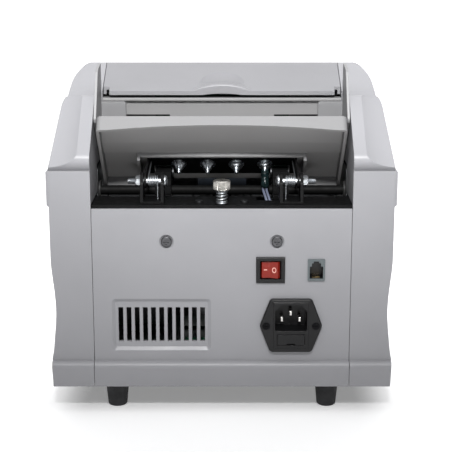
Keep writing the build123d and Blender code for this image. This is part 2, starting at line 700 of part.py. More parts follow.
EAR_OUT = (62.6, 65.0)
EAR_IN = (46.2, 48.6)


def hinge_brackets():
    """Two black clevises on the base plate that carry the hopper tray."""
    y, z = HINGE
    side = outline(
        (112.0, PLATE_Z[1]), (88.0, PLATE_Z[1]), (89.5, z), (y, z + 9.5), (108.5, z),
        radius=[0, 0, 3, 6, 3],
    )
    ears = prism_x(side, *EAR_OUT) + prism_x(side, *EAR_IN)
    foot = block(EAR_IN[0], EAR_OUT[1], 88.0, 112.0, PLATE_Z[1], PLATE_Z[1] + 1.8)
    bracket = ears + foot
    bracket -= rod_x(2.52, 40.0, 70.0, y, z)
    bracket -= rod_z(1.1, 170.0, 175.0, *SPRING_LEG)
    return Compound(children=[bracket, mirror(bracket, about=Plane.YZ)])


def hinge_bolts():
    """M5 button-head bolts through the clevises, with their nuts."""
    y, z = HINGE
    head = rod_x(4.75, EAR_IN[0] - 2.8, EAR_IN[0], y, z)
    head = fillet_or_keep(head, head.edges().filter_by(GeomType.CIRCLE).group_by(Axis.X)[0], 2.0)
    head -= rod_x(1.5, EAR_IN[0] - 3.0, EAR_IN[0] - 1.2, y, z)
    bolt = head + rod_x(2.5, EAR_IN[0], 75.4, y, z)
    nut_face = Plane(origin=(EAR_OUT[1], y, z), x_dir=(0, 1, 0), z_dir=(1, 0, 0)) * RegularPolygon(4.6, 6)
    nut = extrude(nut_face, amount=4.0) - rod_x(2.52, 60.0, 72.0, y, z)
    pieces = [bolt, nut]
    return Compound(children=pieces + [mirror(p, about=Plane.YZ) for p in pieces])


def torsion_spring():
    """The +X torsion spring, with its coil as a plain sleeve."""
    y, z = HINGE
    wire_r = 0.7
    mean_r = 4.05
    coil = rod_x(4.8, 50.4, 59.6, y, z) - rod_x(3.3, 50.0, 60.0, y, z)
    lower = rod_z(wire_r, PLATE_Z[0], z, *SPRING_LEG) - rod_x(4.0, 50.0, 60.0, y, z)
    top = tray_point(56.0, TRAY_DEPTH - WALL - STRIP_N - 1.0)
    run = math.dist(top, (y, z + mean_r))
    aim = (0, (top[0] - y) / run, (top[1] - z - mean_r) / run)
    start = Plane(origin=(58.7, y, z + mean_r), x_dir=(1, 0, 0), z_dir=aim)
    upper = extrude(start * Circle(wire_r), amount=run)
    return coil + lower + upper


# ---------------------------------------------------------------- ground lead
LEAD_X = -36.0


def lug_top():
    """(y, z) of the nut tip that the lug hangs from."""
    return tray_point(BOLT_U, TRAY_DEPTH - WALL - STRIP_N - 8.6)


SLEEVE_LENGTH = 12.5


def ground_lug():
    """Heat-shrunk ring lug on the fourth nut of the strip."""
    y, z = lug_top()
    sleeve = rod_z(3.6, z - SLEEVE_LENGTH, z, LEAD_X, y)
    sleeve = fillet_or_keep(sleeve, sleeve.edges().filter_by(GeomType.CIRCLE), 0.8)
    return sleeve - extrude(bolt_frame(LEAD_X, TRAY_DEPTH) * Circle(2.0), amount=18.0) - nut_body(LEAD_X)


def ground_lead():
    """Two short insulated wires from the lug down through the base plate."""
    wires = []
    y, z = lug_top()
    z -= SLEEVE_LENGTH
    for dx in (-1.4, 1.4):
        x = LEAD_X + dx
        path = FilletPolyline(
            (x, y, z),
            (x, y, z - 5.0),
            (x - 2.6, y + 1.5, z - 13.0),
            (x - 3.3, y + 7.0, z - 22.0),
            (x - 2.0, y + 16.0, z - 29.0),
            radius=7.0,
        )
        start = Plane(origin=path @ 0, z_dir=path % 0)
        wires.append(sweep(start * Circle(1.1), path=path))
    return Compound(children=wires)


# ---------------------------------------------------------------- feed-gap adjuster and retard rollers
def gap_screw():
    """Knurled thumb screw that lowers and raises the retard carriage."""
    x, y = GAP_SCREW
    flutes = 24
    head = rod_z(7.0, 183.6, 191.2, x, y)
    head = fillet_or_keep(head, head.edges().filter_by(GeomType.CIRCLE), 0.8)
    for i in range(flutes):
        angle = 2 * math.pi * i / flutes
        head -= rod_z(0.45, 184.0, 190.8, x + 7.1 * math.cos(angle), y + 7.1 * math.sin(angle))
    stem = rod_z(2.5, 146.0, 183.6, x, y)
    collar = rod_z(3.6, CARRIAGE_Z[0] + 4.5, CARRIAGE_Z[0] + 6.5, x, y)
    neck = rod_z(1.9, CARRIAGE_Z[0] + 0.2, 146.5, x, y)
    return head + stem + collar + neck


def gap_spring():
    """Space taken by the compression spring under the knurled head."""
    x, y = GAP_SCREW
    return rod_z(4.6, PLATE_Z[1], 183.3, x, y) - rod_z(3.2, 160.0, 190.0, x, y)


def retard_carriage():
    """Plate hung from the gap screw that carries the retard rollers at its front end."""
    sx, sy = GAP_SCREW
    z0, z1 = CARRIAGE_Z
    plate = block(-24.0, 24.0, 14.0, 113.0, z0, z1)
    plate += both_sides(block(22.0, 24.0, 14.0, 113.0, z1, z1 + 5))
    cheek = outline(
        (28.0, z0), (14.0, z0), (RETARD[0] - 5, RETARD[1] + 3), (RETARD[0] + 5, RETARD[1] + 3),
        radius=[0, 0, 2, 2],
    )
    plate += both_sides(prism_x(cheek, 24.0, 26.0))
    plate += both_sides(block(22.0, 26.0, 14.0, 28.0, z0, z1))
    plate += rod_z(6.0, z1, z1 + 7.0, sx, sy)
    plate -= rod_z(1.95, z0 - 1, z1 + 8, sx, sy)
    plate -= rod_z(3.7, z0 + 4.3, z1 + 8, sx, sy)
    plate -= both_sides(rod_x(2.0, 20.0, 30.0, *RETARD))
    for x in (-POST_X, POST_X):
        for y in POST_Y:
            plate += rod_z(3.9, z1, z1 + 7.0, x, y) & block(-30, 30, 0, 120, z1, z1 + 7.0)
            plate -= rod_z(3.05, z0 - 1, z1 + 8, x, y)
    plate -= block(-10.0, 10.0, 40.0, 90.0, z0 - 1, z1 + 1)
    return plate


def retard_rollers():
    y, z = RETARD
    axle = rod_x(1.98, -26.0, 26.0, y, z)
    rollers = [rod_x(RETARD_R, x - 5.0, x + 5.0, y, z) for x in (-13.0, 13.0)]
    return axle + rollers[0] + rollers[1]


# ---------------------------------------------------------------- drive
PULLEY_INNER = (112.0, 117.0)
PULLEY_OUTER = (118.5, 123.5)


def pulley(r, x0, x1, y, z):
    """Flat pulley with a low flange on each side."""
    rim = rod_x(r, x0, x1, y, z)
    flanges = rod_x(r + 1.6, x0, x0 + 0.8, y, z) + rod_x(r + 1.6, x1 - 0.8, x1, y, z)
    hub = rod_x(min(r, 6.5), x0 - 2.0, x1, y, z)
    return rim + flanges + hub


def shaft(y, z, x0, x1):
    return rod_x(SHAFT_R, x0, x1, y, z)


def pickup_shaft():
    y, z = PICKUP
    return shaft(y, z, -117.0, 110.0) + mirror(pulley(9.0, *PULLEY_INNER, y, z), about=Plane.YZ)


def pickup_rollers():
    y, z = PICKUP
    rollers = []
    for x in (-49.0, 49.0):
        roller = rod_x(PICKUP_R, x - 6.5, x + 6.5, y, z) - rod_x(SHAFT_R, x - 8, x + 8, y, z)
        for i in range(18):
            angle = 2 * math.pi * i / 18
            roller -= rod_x(0.8, x - 7, x + 7, y + PICKUP_R * math.cos(angle), z + PICKUP_R * math.sin(angle))
        rollers.append(roller)
    return Compound(children=rollers)


def feed_shaft():
    y, z = FEED
    left = mirror(pulley(11.0, *PULLEY_INNER, y, z), about=Plane.YZ)
    right = pulley(13.0, *PULLEY_OUTER, y, z)
    return shaft(y, z, -117.0, 123.5) + left + right


def feed_rollers():
    y, z = FEED
    rollers = []
    for x in (-13.0, 13.0):
        roller = rod_x(FEED_R, x - 8.0, x + 8.0, y, z) - rod_x(SHAFT_R, x - 9, x + 9, y, z)
        rollers.append(roller)
    return Compound(children=rollers)


def encoder_disc():
    """Slotted disc that times the feed shaft."""
    y, z = FEED
    disc = rod_x(17.0, -96.0, -94.8, y, z) + rod_x(7.0, -98.5, -94.8, y, z)
    disc -= rod_x(SHAFT_R, -100.0, -90.0, y, z)
    for i in range(16):
        angle = 2 * math.pi * i / 16
        disc -= rod_x(1.2, -97.0, -94.0, y + 14.5 * math.cos(angle), z + 14.5 * math.sin(angle))
    return disc


def stacker_shaft():
    y, z = STACKER
    return shaft(y, z, -110.0, 117.0) + pulley(16.0, *PULLEY_INNER, y, z)


def impeller_wheels():
    """Wheels with curved flexible fingers that take the notes one by one."""
    y, z = STACKER
    fingers = 10
    one = []
    hub_r = 12.0
    blade = make_face([
        ThreePointArc((hub_r - 1.0, 0.0), (26.0, 4.5), (IMPELLER_R - 1.0, 16.0)),
        Line((IMPELLER_R - 1.0, 16.0), (IMPELLER_R - 2.2, 17.2)),
        ThreePointArc((IMPELLER_R - 2.2, 17.2), (24.5, 6.2), (hub_r - 1.0, 2.0)),
        Line((hub_r - 1.0, 2.0), (hub_r - 1.0, 0.0)),
    ])
    wheel = rod_x(hub_r, -6.0, 6.0, 0, 0)
    for i in range(fingers):
        wheel += Rot(360.0 * i / fingers, 0, 0) * prism_x(scale(blade, by=0.9), -6.0, 6.0)
    wheel -= rod_x(SHAFT_R, -8.0, 8.0, 0, 0)
    for x in (-26.0, 26.0):
        one.append(Pos(x, y, z) * wheel)
    return Compound(children=one)


def shaft_bearings():
    """Flanged bushes in the frame plates."""
    bushes = []
    for y, z in (PICKUP, FEED, STACKER):
        bush = rod_x(6.0, FRAME_X[0], FRAME_X[1] + 2.0, y, z) + rod_x(7.8, FRAME_X[0] - 1.6, FRAME_X[0], y, z)
        bush -= rod_x(SHAFT_R + BUSH_CLEARANCE, 90.0, 120.0, y, z)
        bushes += [bush, mirror(bush, about=Plane.YZ)]
    return Compound(children=bushes)


def main_motor():
    """Round can motor on the right frame plate."""
    y, z = MOTOR
    can = rod_x(27.0, 46.0, FRAME_X[0], y, z)
    can = fillet_or_keep(can, can.edges().filter_by(GeomType.CIRCLE).group_by(Axis.X)[0], 3.0)
    nose = rod_x(9.0, FRAME_X[0], FRAME_X[1] + 1.5, y, z)
    tail = rod_x(8.0, 43.0, 46.0, y, z)
    return can + nose + tail - rod_x(3.03, 80.0, 120.0, y, z)


def motor_pulley():
    y, z = MOTOR
    inner = pulley(8.0, PULLEY_INNER[0], PULLEY_INNER[1] + 0.2, y, z)
    outer = pulley(8.0, PULLEY_OUTER[0] - 0.2, PULLEY_OUTER[1], y, z)
    return rod_x(3.0, 82.0, PULLEY_OUTER[1], y, z) + inner + outer


def belt(a, ra, b, rb, x0, x1):
    """Flat belt round two pulleys."""
    clear = 0.25
    thick = 1.2
    span = math.dist(a, b)
    base = math.atan2(b[1] - a[1], b[0] - a[0])

    def loop(grow):
        r1, r2 = ra + grow, rb + grow
        lean = math.acos((r1 - r2) / span)
        corners = []
        for centre, r in ((a, r1), (b, r2)):
            for s in (1, -1):
                angle = base + s * lean
                corners.append((centre[0] + r * math.cos(angle), centre[1] + r * math.sin(angle)))
        back = (a[0] - r1 * math.cos(base), a[1] - r1 * math.sin(base))
        front = (b[0] + r2 * math.cos(base), b[1] + r2 * math.sin(base))
        return make_face([
            ThreePointArc(corners[0], back, corners[1]),
            Line(corners[1], corners[3]),
            ThreePointArc(corners[3], front, corners[2]),
            Line(corners[2], corners[0]),
        ])

    return prism_x(loop(clear + thick), x0, x1) - prism_x(loop(clear), x0 - 1, x1 + 1)


def drive_belts():
    inset = 1.2
    inner = (PULLEY_INNER[0] + inset, PULLEY_INNER[1] - inset)
    outer = (PULLEY_OUTER[0] + inset, PULLEY_OUTER[1] - inset)
    stack = belt(MOTOR, 8.0, STACKER, 16.0, *inner)
    feed = belt(MOTOR, 8.0, FEED, 13.0, *outer)
    pick = mirror(belt(PICKUP, 9.0, FEED, 11.0, *inner), about=Plane.YZ)
    return Compound(children=[stack, feed, pick])


# ---------------------------------------------------------------- electrics
def transformer():
    core = block(-84.0, -30.0, 20.0, 62.0, BASE_Z + SHEET, 62.0)
    window = block(-100.0, 0.0, 29.0, 53.0, 32.0, 54.5)
    core -= window & (block(-84.0, -74.0, 0, 90, 0, 90) + block(-40.0, -30.0, 0, 90, 0, 90))
    coil = block(-73.0, -41.0, 14.0, 68.0, 32.5, 54.0)
    coil = fillet_or_keep(coil, coil.edges().filter_by(Axis.X), 6.0)
    return core + coil


def main_board():
    """Circuit board on spacers under the motor, with its larger components."""
    board = block(-14.0, 96.0, -30.0, 92.0, 32.0, 33.6)
    for x in (-9.0, 88.0):
        for y in (-25.0, 87.0):
            board += rod_z(3.0, BASE_Z + SHEET, 32.0, x, y)
    board += block(10.0, 38.0, -20.0, 8.0, 33.6, 36.0)
    board += block(58.0, 82.0, -22.0, -6.0, 33.6, 40.0)
    for i in range(3):
        board += rod_z(5.0, 33.6, 50.0, 0.0 + 13.0 * i, 78.0)
    for i in range(4):
        board += block(48.0 + 11.0 * i, 56.0 + 11.0 * i, 10.0, 18.0, 33.6, 41.0)
    return board


def switch_housing():
    x, z = SWITCH
    bezel = block(x - 11.6, x + 11.6, REAR_Y, REAR_Y + 1.8, z - 10.7, z + 10.7)
    bezel = fillet_or_keep(bezel, bezel.edges().group_by(Axis.Y)[-1], 0.8)
    body = block(x - 9.8, x + 9.8, REAR_Y - 16.0, REAR_Y, z - 8.4, z + 8.4)
    tabs = block(x - 6.5, x - 5.7, REAR_Y - 24.0, REAR_Y - 16.0, z - 2.4, z + 2.4)
    tabs += block(x + 5.7, x + 6.5, REAR_Y - 24.0, REAR_Y - 16.0, z - 2.4, z + 2.4)
    well = block(x - 8.5, x + 8.5, REAR_Y - 9.5, REAR_Y + 3, z - 7.6, z + 7.6)
    pivots = rod_z(1.0, z - 8.0, z - 6.0, x, ROCKER_Y) + rod_z(1.0, z + 6.0, z + 8.0, x, ROCKER_Y)
    return bezel + body + tabs - well + pivots


def power_rocker():
    """Red rocker, pressed in on its I side; it turns about an upright axis."""
    x, z = SWITCH
    tilt = 10.0
    profile = outline(
        (-7.8, 1.2), (-6.3, 4.3), (0.0, 2.6), (6.3, 4.3), (7.8, 1.2), (6.8, -2.2), (0.0, -3.8), (-6.8, -2.2),
        radius=[0.6, 0.7, 6.0, 0.7, 0.6, 1.5, 1.5, 1.5],
    )
    rocker = Pos(0, 0, z - 6.7) * extrude(Plane.XY * profile, amount=13.4)
    rocker = rocker - rod_z(1.05, z - 7, z - 5.8, 0, 0) - rod_z(1.05, z + 5.8, z + 7, 0, 0)
    rocker = Rot(0, 0, -tilt) * rocker
    return Pos(x, ROCKER_Y, 0) * rocker


def mains_inlet():
    """Panel-mounted appliance inlet with a hexagonal flange and a fuse drawer bay."""
    x, z = INLET
    flange = prism_y(
        outline(
            (x - 25.2, z), (x - 16.8, z - 22.2), (x + 16.8, z - 22.2),
            (x + 25.2, z), (x + 16.8, z + 22.2), (x - 16.8, z + 22.2),
            radius=[4.0, 3.5, 3.5, 4.0, 3.5, 3.5],
        ),
        REAR_Y + 0.3,
        REAR_Y + 3.8,
    )
    flange = flange + block(x - 14.2, x + 14.2, REAR_Y - 1, REAR_Y + 0.4, z - 18.0, z + 20.0)
    flange = fillet_or_keep(flange, flange.edges().group_by(Axis.Y)[-1], 1.0)
    body = block(x - 14.2, x + 14.2, REAR_Y - 24.0, REAR_Y + 2.0, z - 18.0, z + 20.0)
    rim = block(x - 14.2, x + 14.2, REAR_Y + 3.0, REAR_Y + 4.4, z - 18.6, z + 20.0)
    rim = fillet_or_keep(rim, rim.edges().group_by(Axis.Y)[-1], 0.6)
    inlet = flange + body + rim
    socket = prism_y(
        outline(
            (x - 12.9, z - 3.9), (x + 12.9, z - 3.9), (x + 12.9, z + 12.4),
            (x + 8.2, z + 17.6), (x - 8.2, z + 17.6), (x - 12.9, z + 12.4),
            radius=1.4,
        ),
        REAR_Y - 13.5,
        REAR_Y + 5.0,
    )
    inlet -= socket
    bay = block(x - 11.2, x + 11.2, REAR_Y - 21.0, REAR_Y + 5.0, z - 16.2, z - 7.0)
    inlet -= bay
    for dx in (-20.0, 20.0):
        inlet -= rod_y(1.75, 110.0, 130.0, x + dx, z)
        inlet -= Pos(x + dx, REAR_Y + 2.9, z) * Rot(90, 0, 0) * Cone(3.3, 1.7, 1.9)
    for dx, dz in PIN_SPOTS:
        inlet -= block(x + dx - 1.0, x + dx + 1.0, 90.0, 110.0, z + dz - 2.0, z + dz + 2.0)
    return inlet


def inlet_pins():
    x, z = INLET
    pins = []
    for dx, dz in PIN_SPOTS:
        pin = block(x + dx - 1.0, x + dx + 1.0, REAR_Y - 32.0, REAR_Y - 1.5, z + dz - 2.0, z + dz + 2.0)
        pin = fillet_or_keep(pin, pin.edges().group_by(Axis.Y)[-1], 0.5)
        pins.append(pin)
    return Compound(children=pins)


def inlet_screws():
    x, z = INLET
    screws = []
    for dx in (-20.0, 20.0):
        head = Pos(x + dx, REAR_Y + 2.95, z) * Rot(90, 0, 0) * Cone(3.1, 1.5, 1.7)
        shank = rod_y(1.45, REAR_Y - 8.0, REAR_Y + 2.2, x + dx, z)
        nut = rod_y(3.0, REAR_Y - WALL - 2.4, REAR_Y - WALL, x + dx, z) - rod_y(1.45, 100, 130, x + dx, z)
        top = REAR_Y + 3.8
        slot = block(x + dx - 2.2, x + dx + 2.2, top - 0.6, top + 1, z - 0.35, z + 0.35)
        slot += block(x + dx - 0.35, x + dx + 0.35, top - 0.6, top + 1, z - 2.2, z + 2.2)
        screws.append(head + shank - slot + nut)
    return Compound(children=screws)


def fuse_drawer():
    """Pull-out fuse holder under the socket."""
    x, z = INLET
    drawer = block(x - 10.9, x + 10.9, REAR_Y - 19.5, REAR_Y + 4.9, z - 15.9, z - 7.3)
    drawer -= block(x - 9.6, x + 9.6, REAR_Y - 18.3, REAR_Y - 0.5, z - 14.0, z - 6.0)
    thumb = outline((x - 4, z - 16.5), (x + 4, z - 16.5), (x + 3, z - 14.4), (x - 3, z - 14.4))
    drawer -= prism_y(thumb, REAR_Y + 2.6, REAR_Y + 6)
    return drawer


def fuse():
    x, z = INLET
    tube = rod_x(2.6, x - 9.0, x + 9.0, REAR_Y - 9.0, z - 11.3)
    return tube


def display_jack():
    """Six-way modular jack for an external display."""
    x, z = JACK
    flange = block(x - 6.9, x + 6.9, REAR_Y, REAR_Y + 1.2, z - 9.0, z + 9.0)
    flange = fillet_or_keep(flange, flange.edges().filter_by(Axis.Y), 0.8)
    body = block(x - 6.2, x + 6.2, REAR_Y - 14.0, REAR_Y, z - 8.2, z + 8.2)
    mouth = block(x - 5.3, x + 5.3, REAR_Y - 11.5, REAR_Y + 2, z - 7.2, z + 3.0)
    mouth += block(x - 3.6, x + 3.6, REAR_Y - 11.5, REAR_Y + 2, z + 3.0, z + 5.6)
    mouth += block(x - 2.2, x + 2.2, REAR_Y - 11.5, REAR_Y + 2, z + 5.6, z + 7.2)
    return flange + body - mouth


def jack_contacts():
    x, z = JACK
    wires = [
        block(x + i - 0.25, x + i + 0.25, REAR_Y - 11.5, REAR_Y - 3.0, z - 7.2, z - 6.5)
        for i in (-2.55, -1.53, -0.51, 0.51, 1.53, 2.55)
    ]
    return Compound(children=wires)


# ---------------------------------------------------------------- top cover and control panel
PANEL_RUN = math.dist(COVER_TOP, COVER_FRONT)
PANEL_DOWN = ((COVER_FRONT[0] - COVER_TOP[0]) / PANEL_RUN, (COVER_FRONT[1] - COVER_TOP[1]) / PANEL_RUN)
PANEL_OUT = (PANEL_DOWN[1], -PANEL_DOWN[0])


def panel_plane(x, s, out):
    """A plane on the control panel: x across, s down its slope, out above its face, normal outwards."""
    y = COVER_TOP[0] + s * PANEL_DOWN[0] + out * PANEL_OUT[0]
    z = COVER_TOP[1] + s * PANEL_DOWN[1] + out * PANEL_OUT[1]
    return Plane(origin=(x, y, z), x_dir=(1, 0, 0), z_dir=(0, PANEL_OUT[0], PANEL_OUT[1]))


def on_panel(x, s, out_low, out_high, width, height, radius):
    low = panel_plane(x, s, out_low)
    return extrude(low * RectangleRounded(width, height, radius), amount=out_high - out_low)


KEYS = {
    "key_start": (0.0, 112.0, 22.0, 14.0),
    "key_function": (-46.0, 96.0, 16.0, 9.0),
    "key_add": (-46.0, 114.0, 16.0, 9.0),
    "key_batch": (46.0, 96.0, 16.0, 9.0),
    "key_clear": (46.0, 114.0, 16.0, 9.0),
}
DISPLAY = (0.0, 52.0, 92.0, 40.0)
KEY_GAP = 0.35


def cover_face(inset):
    points = [
        COVER_REAR, COVER_TOP, COVER_FRONT,
        (COVER_FRONT[0] + 2.0, COVER_FRONT[1] - 4.0),
        (COVER_FRONT[0] + 14.0, COVER_FRONT[1] - 6.0),
        (COVER_REAR[0] - 6.0, 150.0),
        (COVER_REAR[0], 200.0),
    ]
    points, radii = inset_outline(points, [0, 12.0, 2.0, 0, 0, 0, 0], inset)
    return outline(*points, radius=radii)


def top_cover():
    """Roof and control panel in one moulding, hinged at its front edge."""
    half = COVER_X - 0.1
    cover = prism_x(cover_face(0), -half, half)
    hollow = prism_x(cover_face(WALL), -half + WALL, half - WALL)
    cover -= hollow
    keep = outline(
        (37.5, COVER_LOW_Z), (37.5, 290.0), (-130.0, 290.0), (-130.0, 143.5), (-98.0, 143.5), (-83.0, 143.5),
        (-2.0, 256.0), (22.0, COVER_LOW_Z),
    )
    cover &= prism_x(keep, -150.0, 150.0)
    cover += block(-half, half, COVER_REAR[0] - WALL, COVER_REAR[0], COVER_LOW_Z, COVER_REAR[1] - 0.6)
    cover -= both_sides(block(94.6, 101.0, 30.5, 40.0, 244.0, 256.0))
    cover += pull_hood(PULL_HALF, PULL_TOP_Z - COVER_LOW_Z, PULL_Y, COVER_REAR[0])
    cover += finger_dish(2.2) & prism_x(cover_face(0), -half, half)
    cover -= finger_dish(0.0)
    cover -= Pos(0, 0, -0.01) * pull_hood(PULL_HALF / 2, 1.3, PULL_Y + 3.0, COVER_REAR[0] + 3.0)

    x, s, w, h = DISPLAY
    cover -= on_panel(x, s, -1.2, 5.0, w, h, 3.0)
    cover -= on_panel(x, s, -6.0, 5.0, w - 8.0, h - 8.0, 2.0)
    for x, s, w, h in KEYS.values():
        cover -= on_panel(x, s, -6.0, 5.0, w + 2 * KEY_GAP, h + 2 * KEY_GAP, 2.0 + KEY_GAP)
    pin_y, pin_z = COVER_FRONT[0] + 9.0, COVER_FRONT[1] - 1.5
    ear = rod_x(5.2, half - WALL, half, pin_y, pin_z)
    cover += both_sides(ear)
    cover -= both_sides(rod_x(2.5 + BUSH_CLEARANCE * 2, 90.0, 101.0, pin_y, pin_z))
    return cover


def pull_hood(half, rise, y0, y1):
    """Arched rim in the middle of the cover's rear edge, for lifting the cover with a finger."""
    arch = make_face([
        ThreePointArc((-half, COVER_LOW_Z), (0, COVER_LOW_Z + rise), (half, COVER_LOW_Z)),
        Line((half, COVER_LOW_Z), (-half, COVER_LOW_Z)),
    ])
    hood = prism_y(arch, y0, y1)
    if rise < 3.0:
        return hood
    return fillet_or_keep(hood, hood.edges().filter_by(GeomType.CIRCLE).group_by(Axis.Y)[-1], 2.0)


def finger_dish(grow):
    """Ball segment of the finger dish in the roof, in front of the rim that a finger pulls on."""
    half_width, depth, edge_y = 19.0, 4.6, PULL_Y
    slope = math.atan2(COVER_TOP[1] - COVER_REAR[1], COVER_REAR[0] - COVER_TOP[0])
    edge_z = COVER_REAR[1] + (COVER_REAR[0] - edge_y) * math.tan(slope)
    radius = (half_width ** 2 + depth ** 2) / (2 * depth)
    centre_y = edge_y + (radius - depth) * math.sin(slope)
    centre_z = edge_z + (radius - depth) * math.cos(slope)
    ball = Pos(0, centre_y, centre_z) * Sphere(radius + grow)
    return ball & block(-30, 30, -20, edge_y + grow, 240, 290)


def display_window():
    x, s, w, h = DISPLAY
    return on_panel(x, s, -1.2, 0.2, w - 0.4, h - 0.4, 2.8)


def display_board():
    x, s, w, h = DISPLAY
    board = on_panel(0.0, 80.0, -11.2, -9.6, 120.0, 96.0, 2.0)
    glass = on_panel(x, s, -9.6, -4.0, w - 12.0, h - 12.0, 1.0)
    board = board + glass
    for x, s, w, h in KEYS.values():
        board += on_panel(x, s, -9.6, -7.4, 6.0, 6.0, 0.5)
    return board


def key_cap(name):
    x, s, w, h = KEYS[name]
    cap = on_panel(x, s, -4.2, 1.6, w, h, 2.0)
    outer_face = cap.faces().sort_by(lambda f: f.center().Z * PANEL_OUT[1] + f.center().Y * PANEL_OUT[0])[-1]
    cap = fillet_or_keep(cap, outer_face.edges(), 0.8)
    flange = on_panel(x, s, -4.9, -4.0, w + 3.0, h + 3.0, 2.0)
    stem = on_panel(x, s, -6.0, -4.5, 3.0, 3.0, 0.4)
    return cap + flange + stem


# ---------------------------------------------------------------- write every piece
def main():
    plus_x_cover = side_cover()
    guide = note_guide()
    spring = torsion_spring()
    pieces = {
        "base_plate": base_plate(),
        "right_side_cover": plus_x_cover,
        "left_side_cover": mirror(plus_x_cover, about=Plane.YZ),
        "rear_panel": rear_panel(),
        "rear_panel_screws": rear_panel_screws(),
        "rubber_feet": rubber_feet(),
        "casing_screws": casing_screws(),
        "stacker_tray": stacker_tray(),
        "stacker_back_plate": stacker_back_plate(),
        "left_frame_plate": left_frame_plate(),
        "right_frame_plate": right_frame_plate(),
        "frame_tie_rods": frame_tie_rods(),
        "hopper_base_plate": hopper_base_plate(),
        "carriage_guide_posts": carriage_guide_posts(),
        "hopper_front_beam": hopper_front_beam(),
        "right_note_guide": guide,
        "left_note_guide": mirror(guide, about=Plane.YZ),
        "hopper_tray": hopper_tray(),
        "tray_bracket": tray_bracket(),
        "bracket_bolts": bracket_bolts(),
        "hinge_brackets": hinge_brackets(),
        "hinge_bolts": hinge_bolts(),
        "right_torsion_spring": spring,
        "left_torsion_spring": mirror(spring, about=Plane.YZ),
        "ground_lug": ground_lug(),
        "ground_lead": ground_lead(),
        "gap_screw": gap_screw(),
        "gap_spring": gap_spring(),
        "retard_carriage": retard_carriage(),
        "retard_rollers": retard_rollers(),
        "pickup_shaft": pickup_shaft(),
        "pickup_rollers": pickup_rollers(),
        "feed_shaft": feed_shaft(),
        "feed_rollers": feed_rollers(),
        "encoder_disc": encoder_disc(),
        "stacker_shaft": stacker_shaft(),
        "impeller_wheels": impeller_wheels(),
        "shaft_bearings": shaft_bearings(),
        "main_motor": main_motor(),
        "motor_pulley": motor_pulley(),
        "drive_belts": drive_belts(),
        "transformer": transformer(),
        "main_board": main_board(),
        "switch_housing": switch_housing(),
        "power_rocker": power_rocker(),
        "mains_inlet": mains_inlet(),
        "inlet_pins": inlet_pins(),
        "inlet_screws": inlet_screws(),
        "fuse_drawer": fuse_drawer(),
        "fuse": fuse(),
        "display_jack": display_jack(),
        "jack_contacts": jack_contacts(),
        "top_cover": top_cover(),
        "display_window": display_window(),
        "display_board": display_board(),
    }
    for name in KEYS:
        pieces[name] = key_cap(name)
    for name, shape in pieces.items():
        export_step(shape, f"parts/{name}.step")
    print(len(pieces), "parts written")


main()
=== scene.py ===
import json
import math

import bmesh
import bpy
from mathutils import Matrix, Vector


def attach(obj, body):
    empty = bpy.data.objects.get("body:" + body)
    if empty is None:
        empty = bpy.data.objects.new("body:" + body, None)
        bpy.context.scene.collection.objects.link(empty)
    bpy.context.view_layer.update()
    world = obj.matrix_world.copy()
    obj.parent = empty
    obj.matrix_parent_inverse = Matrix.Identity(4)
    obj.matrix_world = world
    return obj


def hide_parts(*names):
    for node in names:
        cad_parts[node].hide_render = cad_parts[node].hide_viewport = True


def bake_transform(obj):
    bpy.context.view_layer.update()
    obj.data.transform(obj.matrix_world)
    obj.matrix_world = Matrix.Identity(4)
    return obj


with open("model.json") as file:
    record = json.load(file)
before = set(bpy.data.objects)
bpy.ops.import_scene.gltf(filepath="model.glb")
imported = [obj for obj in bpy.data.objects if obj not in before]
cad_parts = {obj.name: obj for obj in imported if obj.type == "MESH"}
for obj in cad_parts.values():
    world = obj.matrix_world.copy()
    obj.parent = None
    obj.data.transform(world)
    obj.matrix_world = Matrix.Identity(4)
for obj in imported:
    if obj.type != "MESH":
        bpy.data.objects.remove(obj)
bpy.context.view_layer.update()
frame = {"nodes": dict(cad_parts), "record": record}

NODES = frame["nodes"]
scene = bpy.context.scene
scene.view_settings.view_transform = "Standard"


# ---------------------------------------------------------------- stage
def aim(obj, target):
    """Turns a lamp or the camera so that it looks at target."""
    obj.rotation_euler = (Vector(target) - obj.location).to_track_quat("-Z", "Y").to_euler()


def add_camera():
    """A long lens behind the machine, a little above it."""
    cam = bpy.data.objects.new("camera", bpy.data.cameras.new("camera"))
    scene.collection.objects.link(cam)
    cam.location = (-0.0034, 1.0589, 0.3831)
    aim(cam, (-0.0034, 0.120, 0.156))
    cam.data.sensor_width = 36.0
    cam.data.lens = 97.2
    scene.camera = cam


def add_lamp(name, kind, power, place, target):
    """A lamp aimed at target; the caller sets its shape."""
    lamp = bpy.data.lights.new(name, kind)
    lamp.energy = power
    obj = bpy.data.objects.new(name, lamp)
    scene.collection.objects.link(obj)
    obj.location = place
    aim(obj, target)
    return lamp


def add_ceiling():
    """A wide soft lamp overhead, which also lights the floor."""
    lamp = add_lamp("ceiling", "AREA", 400.0, (0.0, -3.2, 3.0), (0.0, -3.2, 0.0))
    lamp.shape = "RECTANGLE"
    lamp.size = 7.0
    lamp.size_y = 14.0


def add_spot(name, place, target, cone, blend, power, radius=0.1):
    """A spotlight whose lower edge fades out over the lower half of the machine."""
    lamp = add_lamp(name, "SPOT", power, place, target)
    lamp.spot_size = math.radians(cone)
    lamp.spot_blend = blend
    lamp.shadow_soft_size = radius


